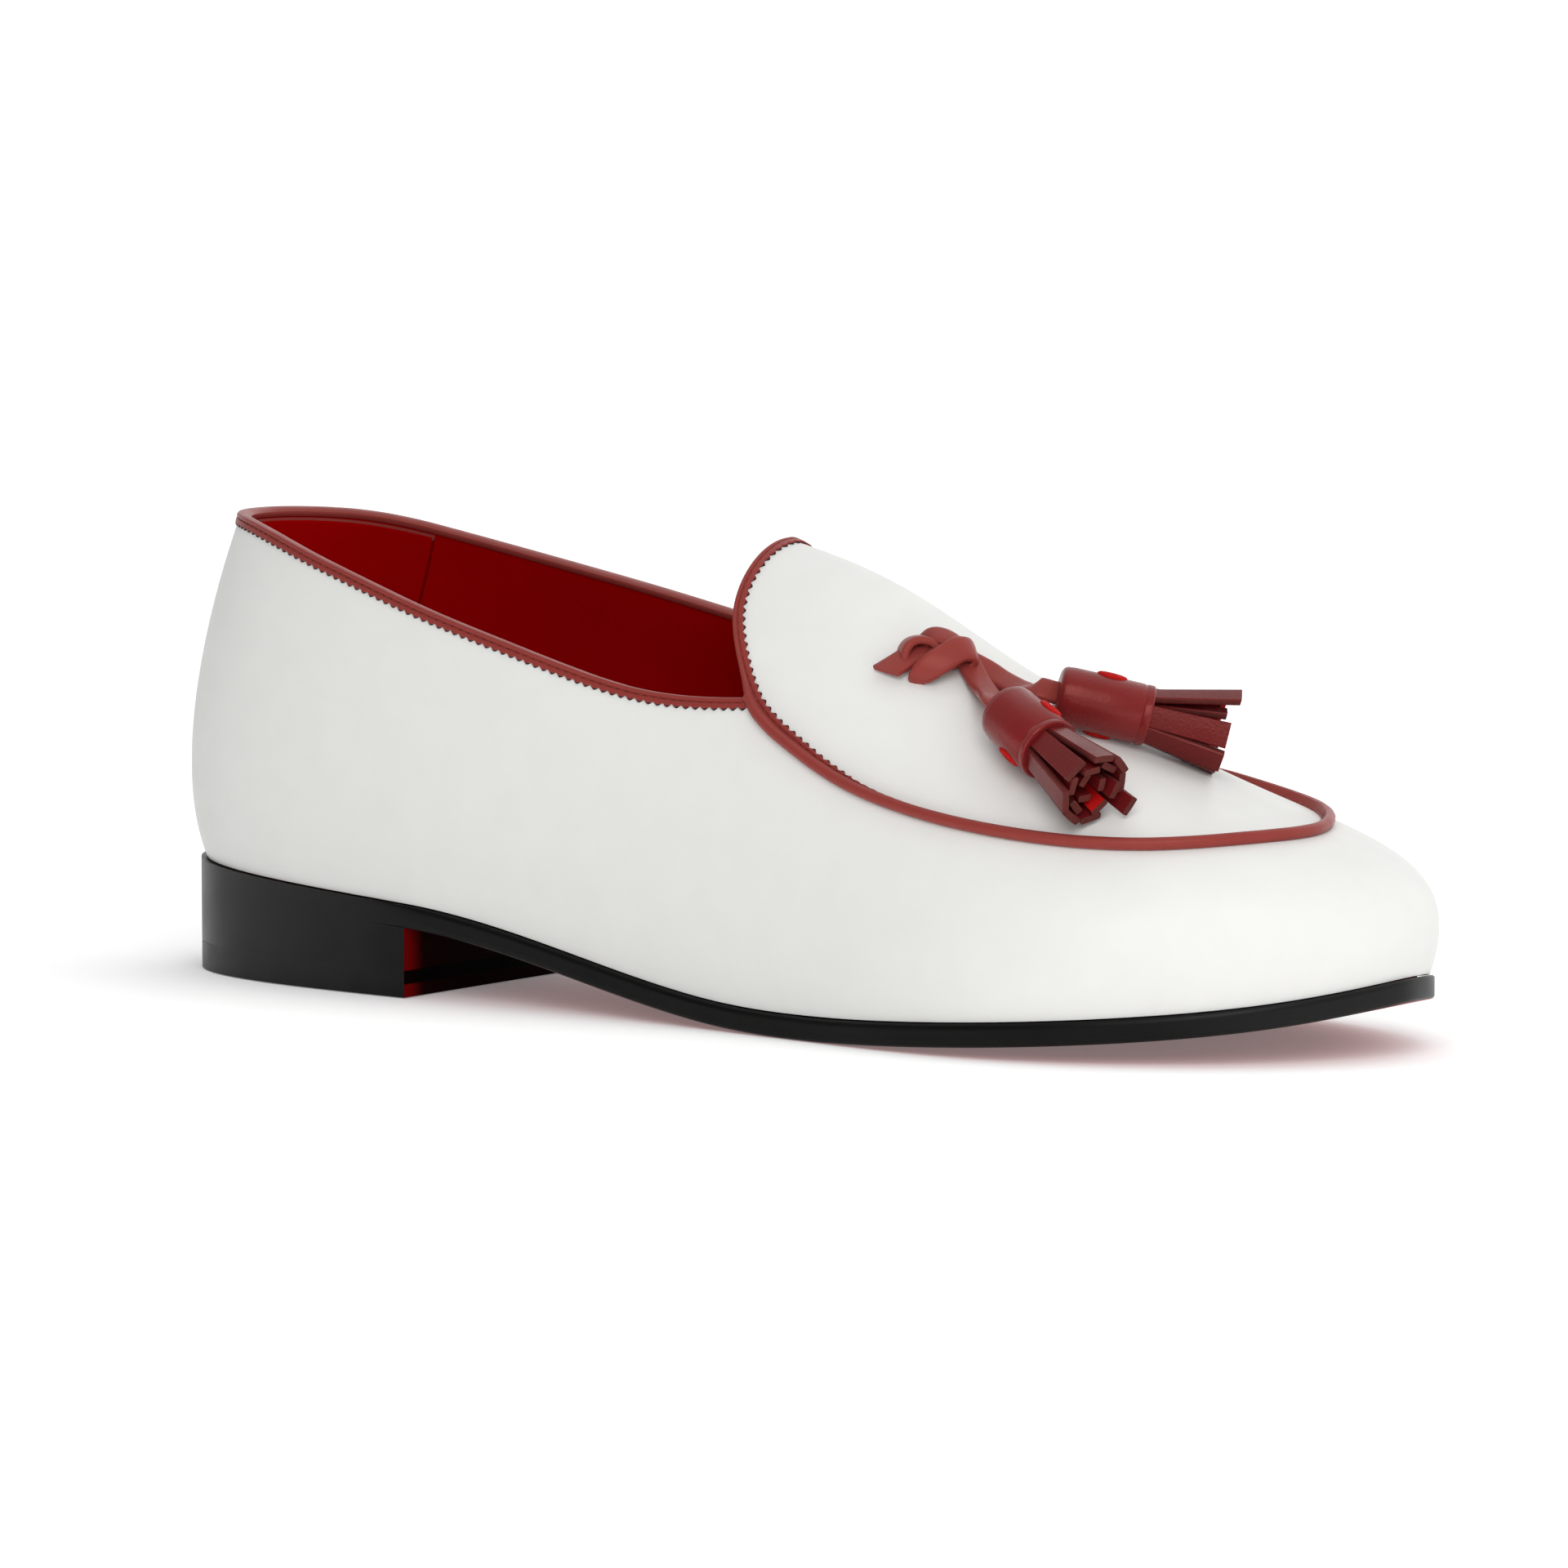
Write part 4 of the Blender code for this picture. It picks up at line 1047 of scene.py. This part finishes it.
def pinked(sections, share=1.0):
    """Sections whose strip ends in a row of teeth, of which a share shows."""
    depth = bpy.context.scene.loafer_sizes.tooth_depth * share
    notch = np.clip(1 - from_gap(len(sections)) / NOTCH_SHARE, 0, 1)
    for k in TOOTH_POINTS:
        sections[:, k, 0] += depth * (0.5 - notch)
    return sections


def add_teeth_shade(name, frames, sections, closed, sunk):
    """A dark strip that shows at the tips of a binding's teeth as painted shade, and lies deeper where it
    is sunk.
    """
    shown = 1 - (1 - from_gap(len(sections))) / TEETH_SHADE_SHARE
    tip = sections[:, TOOTH_POINTS[0], 0] + TEETH_SHADE_RIM * shown
    low, high = TEETH_SHADE_LOW - sunk, TEETH_SHADE_TOPS[name] - sunk
    rows = [(tip - TEETH_SHADE_WIDTH, low), (tip, low), (tip, high), (tip - TEETH_SHADE_WIDTH, high)]
    strip = np.stack([np.stack(row, axis=-1) for row in rows], axis=1)
    return sweep(name + "_backing", frames, strip, closed)


def add_stitches(name, frames, sections):
    """Thread stitches lying in the groove between a binding's bead and its strip."""
    sizes = bpy.context.scene.loafer_sizes
    points, outward, left = frames
    groove = points + sections[:, GROOVE_POINT, :1] * left + sections[:, GROOVE_POINT, 1:] * outward
    thick, half = sizes.stitch_width / 2, sizes.stitch_length / 2
    turns = np.linspace(0, 2 * np.pi, STITCH_SIDES, endpoint=False)
    *walls, foot, head = bridge(len(STITCH_PROFILE), STITCH_SIDES, capped=True)
    corners, faces = [], []
    for k in range(TOOTH_STEPS // 2, len(groove) - 1, TOOTH_STEPS):
        ahead = unit(groove[k + 1] - groove[k - 1])
        faces += [tuple(len(corners) + i for i in face) for face in (*walls, foot[::-1], head)]
        for along, girth in STITCH_PROFILE:
            middle = groove[k] + half * along * ahead + STITCH_RAISED * thick * outward[k]
            ring = [math.cos(turn) * left[k] + math.sin(turn) * outward[k] for turn in turns]
            corners += [middle + thick * girth * side for side in ring]
    piece = add_piece(name, corners, faces)
    shade(piece, math.pi)
    return piece


def add_binding(name, frames, sections, closed, sunk, nodes):
    """A binding with its stitches and the dark strip of painted shade at its teeth."""
    piece = sweep(name + "_trim", frames, sections, closed)
    finish_piece(piece, "trim_leather", ["trim_leather"], *nodes)
    piece = add_stitches(name + "_stitches", frames, sections)
    finish_piece(piece, "trim_leather", ["trim_leather"])
    piece = add_teeth_shade(name, frames, sections, closed, sunk)
    finish_piece(piece, "trim_leather", ["backing_leather"])


def bind_topline(mouth, lateral, medial, tree, step):
    """Bind the mouth's edge from one corner round the heel to the other."""
    rear = np.concatenate([mouth[lateral::-1], mouth[: medial - 1 : -1]])
    ends = [rear[i] + TOPLINE_UNDER * unit(rear[i] - rear[j]) for i, j in ((0, 1), (-1, -2))]
    line = smooth_line(np.concatenate([ends[:1], rear, ends[1:]]), step)
    frames = frames_on(line, tree, False, TOPLINE_EVEN)
    sections = pinked(np.repeat(EDGE_SECTION[None], len(line), axis=0))
    add_binding("topline", frames, sections, False, np.zeros(len(line)), ["topline_binding"])


def plug_loop(mouth, lateral, medial, tree, step):
    """The closed line along the tongue's edge and the plug's seam, and how far it is from a corner."""
    seam, _, inward = frames_on(welt_line(), tree, False, SEAM_EVEN)
    run = run_of(seam)
    shift = np.interp(np.minimum(run, run[-1] - run), SEAM_FROM_CORNER, SEAM_INWARD)
    seam = frames_on(seam + shift[:, None] * inward, tree, False, MOVED_EVEN)[0]
    loop = np.concatenate([mouth[lateral : medial + 1][::-1], seam])
    corners = mouth[[lateral, medial]][None]
    apart = np.linalg.norm(loop[:, None] - corners, axis=-1).min(1)
    line = smooth_line(loop[apart > CORNER_CLEAR], step, closed=True)
    near = np.linalg.norm(line[:, None] - corners, axis=-1).min(1)
    smoothed = np.interp(near, CORNER_ROUND, (1.0, 0.0))[:, None]
    return line + smoothed * (average(line, CORNER_EVEN, True) - line), near


def bind_plug(mouth, lateral, medial, tree, step):
    """Bind the tongue's edge with a fold that turns into the corded welt in front of the corners."""
    line, near = plug_loop(mouth, lateral, medial, tree, step)
    frames = (line, *frames_on(line, tree, True, PLUG_EVEN)[1:])
    ends = mouth[[lateral, medial]]
    away = np.where(line[:, 0] < np.interp(line[:, 1], ends[:, 1], ends[:, 0]), -near, near)
    share = np.interp(away, CORNER_BLEND, (0.0, 1.0))[:, None, None]
    share = share * share * (3 - 2 * share)
    sections = (1 - share) * EDGE_SECTION + share * WELT_SECTION
    narrow = np.interp(away, STRIP_FROM_CORNER, STRIP_SHARE)
    sections[..., 0] *= np.where(sections[..., 0] > 0, narrow[:, None], 1.0)
    sunk = TEETH_SHADE_SUNK * np.clip((STRIP_BARE - narrow) / (STRIP_BARE - STRIP_SHARE[1]), 0, 1)
    add_binding("plug", frames, pinked(sections, narrow), True, sunk, ["tongue_binding", "plug_welt"])


class LOAFER_OT_bindings(bpy.types.Operator):
    """Model the folded bindings of the topline and the tongue and the corded seam round the plug"""

    bl_idname = "loafer.bindings"
    bl_label = "Bindings"

    def execute(self, context):
        mouth = upper_grid()[0][0]
        tree = outer_tree(bpy.data.objects["upper_leather"])
        step = context.scene.loafer_sizes.tooth_pitch / TOOTH_STEPS
        bind_topline(mouth, *corner_columns(mouth), tree, step)
        bind_plug(mouth, *corner_columns(mouth), tree, step)
        return {"FINISHED"}


# Thong and tassels


def knot_frame(tree):
    """The knot's place on the plug, and its rightward, upward and outward directions."""
    place, normal, _, _ = tree.ray_cast(Vector((*KNOT_PLACE, 1.0)), Vector((0.0, 0.0, -1.0)))
    outward = np.array(normal)
    right = np.array((*KNOT_RIGHT, 0.0))
    right = unit(right - right.dot(outward) * outward)
    return np.array(place), np.array([right, np.cross(outward, right), outward])


def tassel_frame(node):
    """Where a tassel starts, its axis, and its sideward and upward directions, with its length."""
    caps, points, _ = flat_caps(node, COLLAR_SIDES)
    if not caps:
        raise RuntimeError(f"{node} has no round end")
    start, normal, _ = min(caps, key=lambda cap: cap[0][0])
    along = -normal if normal[0] < 0 else normal
    side = unit(np.cross(along, (0.0, 0.0, 1.0)))
    start = start + COLLAR_AHEAD[node] * along
    return start, np.array([along, side, np.cross(side, along)]), float(((points - start) @ along).max())


def ribbon(name, points, faces, width, slant=0.0):
    """A leather strap along points, with the direction that its face looks in at each.

    Its first end is cut at a slant.
    """
    path = smooth_line(points, STRAP_STEP)
    share = np.linspace(0, 1, len(path))
    face = unit(points_at(share, np.linspace(0, 1, len(points)), faces))
    face = unit(average(face, STRAP_EVEN, False))
    ahead = unit(np.gradient(path, axis=0))
    across = unit(np.cross(face, ahead))
    out = np.cross(ahead, across)
    section = STRAP_SECTION * (width, bpy.context.scene.loafer_sizes.thong_thickness)
    rows = path[:, None] + section[:, :1] * across[:, None] + section[:, 1:] * out[:, None]
    rows -= slant * (1 - share)[:, None, None] ** 2 * section[:, :1] * ahead[:, None]
    faces = bridge(*rows.shape[:2], capped=True)
    return add_closed(name, rows.reshape(-1, 3), faces, STRAP_CREASE)


def join(name, pieces):
    """Several pieces as one object."""
    deselect()
    for piece in pieces:
        piece.select_set(True)
    bpy.context.view_layer.objects.active = pieces[0]
    bpy.ops.object.join()
    pieces[0].name = pieces[0].data.name = name
    return pieces[0]


class LOAFER_OT_thong(bpy.types.Operator):
    """Model the knotted thong and its strands"""

    bl_idname = "loafer.thong"
    bl_label = "Thong"

    def execute(self, context):
        sizes = context.scene.loafer_sizes
        place, axes = knot_frame(outer_tree(bpy.data.objects["upper_leather"]))
        pieces = []
        for name, rows in KNOT_STRAPS.items():
            rows = np.array(rows)
            points, faces = place + rows[:, :3] * MM @ axes, rows[:, 3:] @ axes
            width = STRAP_GIRTH[name] * sizes.strap_width
            pieces.append(ribbon("thong_" + name, points, faces, width, STRAP_SLANT.get(name, 0.0)))
        for node, rows in STRANDS.items():
            start, directions, _ = tassel_frame(node)
            ends = [start + ahead * MM * directions[0] for ahead in STRAND_ENDS]
            points = np.concatenate([place + np.array(rows) * MM @ axes, ends])
            faces = np.stack([np.array(STRAND_FACE) @ axes] * len(points))
            pieces.append(ribbon("strand_" + node, points, faces, sizes.strand_width))
        deselect()
        bpy.ops.mesh.primitive_uv_sphere_add(radius=1.0)
        core = context.object
        turned = Matrix((axes.T * KNOT_CORE_SIZE * MM).tolist()).to_4x4()
        turned.translation = Vector(place + np.array(KNOT_CORE) * MM @ axes)
        core.data.transform(turned)
        shade(core, math.pi)
        finish_piece(join("thong_knot", [*pieces, core]), "trim_leather", ["trim_leather"], "thong")
        return {"FINISHED"}


def make_collar(node, start, axes):
    """A tassel's rolled collar, turned about its axis."""
    turn = np.linspace(0, 2 * np.pi, COLLAR_SEGMENTS, endpoint=False)
    around = np.outer(np.cos(turn), axes[1]) + np.outer(np.sin(turn), axes[2])
    long, wide = COLLAR_LENGTH[node] * MM, COLLAR_GIRTH[node] * MM
    rows = [start + along * long * axes[0] + radius * wide * around for along, radius in COLLAR_PROFILE]
    faces = bridge(len(rows), COLLAR_SEGMENTS, capped=True)
    return add_closed(node + "_collar", np.concatenate(rows), faces)


def make_fringe(node, start, axes, reach):
    """A tassel's fringe: an outer ring of cut strips round an inner one."""
    half_thick = bpy.context.scene.loafer_sizes.strip_thickness / 2
    sides = len(STRIP_SECTION)
    strips = FRINGES[node]
    rim = max(along for along, _ in COLLAR_PROFILE) * COLLAR_LENGTH[node] * MM
    walls = (STRIP_STEPS - 1) * sides
    corners, faces, kinds = [], [], []
    for k, (angle, width, cut, end) in enumerate((*strips, *INNER_STRIPS)):
        base = FRINGE_BASE if k < len(strips) else min(INNER_BASE, INNER_SPREAD * end)
        out = outward_at(angle, axes)
        tangent = np.cross(axes[0], out)
        tip = reach - cut * MM
        for n, face in enumerate(bridge(STRIP_STEPS, sides, capped=True)):
            faces.append(tuple(len(corners) + i for i in face))
            inner_side = n < walls and n % sides in FLESH_FACES and k in FLESH_SHOWN[node]
            cut_side = n >= walls or n % sides in CUT_FACES
            kinds.append(1 if inner_side else 2 if cut_side else 0)
        for share in np.linspace(0, 1, STRIP_STEPS):
            along = tip - (1 - share) * (tip - rim + FRINGE_INSIDE * MM)
            radius = (base + (end - base) * max(along - rim, 0.0) / (tip - rim)) * MM
            twist = STRIP_TWIST[k >= len(strips)] * share * math.sin(TWIST_STEP * k)
            across = math.cos(twist) * tangent + math.sin(twist) * out
            level = math.cos(twist) * out - math.sin(twist) * tangent
            half = np.interp(share, (0, 1), STRIP_HALF) * width * MM
            middle = start + along * axes[0] + radius * out
            corners += [middle + a * half * across + b * half_thick * level for a, b in STRIP_SECTION]
    piece = add_closed(node + "_fringe", corners, faces)
    for polygon, kind in zip(piece.data.polygons, kinds):
        polygon.material_index = kind
    return piece


def outward_at(angle, axes):
    """The direction away from a tassel's axis at an angle about it, in degrees."""
    turn = math.radians(angle)
    return math.cos(turn) * axes[1] + math.sin(turn) * axes[2]


def make_slots(node, start, axes):
    """The oval slots in a collar's sides: a bright lip round a dark opening."""
    radius = np.interp(SLOT_ALONG, *zip(*COLLAR_WALL)) * COLLAR_GIRTH[node] * MM
    rings = dict(zip(("major_segments", "minor_segments"), SLOT_SEGMENTS))
    globe = dict(zip(("segments", "ring_count"), OPENING_SEGMENTS))
    pieces = []
    for angle in SLOT_ANGLES[node]:
        out = outward_at(angle, axes)
        middle = start + SLOT_ALONG * MM * axes[0] + (radius - SLOT_SUNK) * out
        place = Matrix.Identity(4)
        for column, direction in enumerate((axes[0], np.cross(out, axes[0]), out, middle)):
            place.col[column][:3] = direction
        deselect()
        bpy.ops.mesh.primitive_torus_add(major_radius=1.0, minor_radius=SLOT_LIP / SLOT_SHAPE[1], **rings)
        lip = bpy.context.object
        deselect()
        bpy.ops.mesh.primitive_uv_sphere_add(radius=1.0, **globe)
        opening = bpy.context.object
        parts = ((lip, SLOT_SHAPE[1], "flesh_leather"), (opening, SLOT_OPENING, "tassel_leather"))
        for piece, depth, name in parts:
            piece.data.transform(place @ Matrix.Diagonal((*SLOT_SHAPE, depth, 1.0)))
            add_leathers(piece, [name])
            pieces.append(piece)
    piece = join(node + "_slots", pieces)
    shade(piece, math.pi)
    return piece


class LOAFER_OT_tassels(bpy.types.Operator):
    """Model the two tassels"""

    bl_idname = "loafer.tassels"
    bl_label = "Tassels"

    def execute(self, context):
        for node in FRINGES:
            start, axes, reach = tassel_frame(node)
            collar = make_collar(node, start, axes)
            fringe = make_fringe(node, start, axes, reach)
            slots = make_slots(node, start, axes)
            finish_piece(collar, "tassel_leather", ["collar_leather"], node)
            finish_piece(fringe, "tassel_leather", ["tassel_leather", "flesh_leather", "cut_leather"])
            finish_piece(slots, "tassel_leather", [])
        return {"FINISHED"}


# Stage


def add_lamp(name, place, target, size, watts):
    """A large soft lamp that looks at a target."""
    deselect()
    bpy.ops.object.light_add(type="AREA", location=place)
    lamp = bpy.context.object
    lamp.name = name
    lamp.rotation_euler = (Vector(target) - Vector(place)).to_track_quat("-Z", "Y").to_euler()
    lamp.data.size = size
    lamp.data.energy = watts


def light_sky(scene):
    """A white studio all round the shoe, brightest on its medial side."""
    world = bpy.data.worlds.new("studio")
    scene.world = world
    world.use_nodes = True
    tree = world.node_tree
    place = add_node(tree, "ShaderNodeTexCoord").outputs["Generated"]
    lean = add_node(tree, "ShaderNodeVectorMath", {0: place, 1: SKY_LEAN}, operation="DOT_PRODUCT")
    strength = combine(tree, "ADD", lean.outputs["Value"], SKY_STRENGTH)
    background = tree.nodes["Background"]
    background.inputs["Color"].default_value = (1.0, 1.0, 1.0, 1.0)
    tree.links.new(strength, background.inputs["Strength"])


def floor_glow(tree):
    """A glow of painted light from the floor, which is least under the shoe as a painted shadow."""
    place = add_node(tree, "ShaderNodeTexCoord").outputs["Object"]
    share = (1 / FOOTPRINT[0], 1 / FOOTPRINT[1], 0.0)
    place = add_node(tree, "ShaderNodeVectorMath", {0: place, 1: share}, operation="MULTIPLY").outputs[0]
    distance = add_node(tree, "ShaderNodeVectorMath", {0: place}, operation="LENGTH").outputs["Value"]
    return combine(tree, "ADD", *(ramp(tree, distance, *step) for step in GLOW_STEPS))


def add_floor(tint):
    """The pale floor, just under the shoe."""
    deselect()
    bpy.ops.mesh.primitive_plane_add(size=FLOOR_SIZE, location=(0.0, 0.0, -FLOOR_DROP))
    floor = bpy.context.object
    floor.name = "floor"
    material = bpy.data.materials.new("floor")
    material.use_nodes = True
    tree = material.node_tree
    shader = tree.nodes["Principled BSDF"]
    shader.inputs["Base Color"].default_value = (*tint, 1.0)
    shader.inputs["Roughness"].default_value = FLOOR_ROUGHNESS
    shader.inputs["Specular IOR Level"].default_value = 0.0
    # The floor glows with painted light, least under the shoe as a painted shadow
    shader.inputs["Emission Strength"].default_value = 1.0
    tree.links.new(floor_glow(tree), shader.inputs["Emission Color"])
    floor.data.materials.append(material)


def add_camera(scene):
    """The camera at the photograph's viewpoint."""
    right = Vector((math.cos(CAMERA_AZIMUTH), math.sin(CAMERA_AZIMUTH), 0.0))
    level = Vector((math.sin(CAMERA_AZIMUTH), -math.cos(CAMERA_AZIMUTH), 0.0))
    back = level * math.cos(CAMERA_ELEVATION) + Vector((0.0, 0.0, math.sin(CAMERA_ELEVATION)))
    target = CAMERA_ASIDE + CAMERA_RIGHT * right + CAMERA_UP * back.cross(right)
    place = target + CAMERA_DISTANCE * back
    deselect()
    bpy.ops.object.camera_add(location=place)
    camera = bpy.context.object
    camera.name = "camera"
    camera.rotation_euler = (place - CAMERA_AIM).to_track_quat("Z", "Y").to_euler()
    camera.data.sensor_width = CAMERA_SENSOR
    camera.data.lens = CAMERA_LENS
    scene.camera = camera


class LOAFER_OT_stage(bpy.types.Operator):
    """Set the pale floor, the soft lights and the camera"""

    bl_idname = "loafer.stage"
    bl_label = "Stage"

    def execute(self, context):
        scene = context.scene
        add_floor(scene.loafer_colours.floor)
        light_sky(scene)
        for name, lamp in LAMPS.items():
            add_lamp(name, *lamp)
        add_camera(scene)
        scene.view_settings.view_transform = "Standard"
        return {"FINISHED"}


class LOAFER_PT_panel(bpy.types.Panel):
    """Lists the steps, the colours and the sizes"""

    bl_label = "Loafer"
    bl_idname = "LOAFER_PT_panel"
    bl_space_type = "VIEW_3D"
    bl_region_type = "UI"
    bl_category = "Loafer"

    def draw(self, context):
        for operator in OPERATORS:
            self.layout.operator(operator.bl_idname)
        for group in (context.scene.loafer_colours, context.scene.loafer_sizes):
            box = self.layout.box()
            for key in group.__annotations__:
                box.prop(group, key)


OPERATORS = (
    LOAFER_OT_stage,
    LOAFER_OT_upper,
    LOAFER_OT_sole,
    LOAFER_OT_bindings,
    LOAFER_OT_thong,
    LOAFER_OT_tassels,
)
CLASSES = (LoaferColours, LoaferSizes, *OPERATORS, LOAFER_PT_panel)


def register():
    """Register the classes and the scene's settings."""
    for cls in CLASSES:
        bpy.utils.register_class(cls)
    bpy.types.Scene.loafer_colours = bpy.props.PointerProperty(type=LoaferColours)
    bpy.types.Scene.loafer_sizes = bpy.props.PointerProperty(type=LoaferSizes)


def unregister():
    """Remove the scene's settings and the classes."""
    del bpy.types.Scene.loafer_sizes
    del bpy.types.Scene.loafer_colours
    for cls in reversed(CLASSES):
        bpy.utils.unregister_class(cls)


def main():
    """Dress the shoe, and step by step."""
    register()
    bpy.ops.loafer.stage()
    bpy.ops.loafer.upper()
    bpy.ops.loafer.sole()
    bpy.ops.loafer.bindings()
    bpy.ops.loafer.thong()
    bpy.ops.loafer.tassels()


if __name__ == "__main__":
    main()
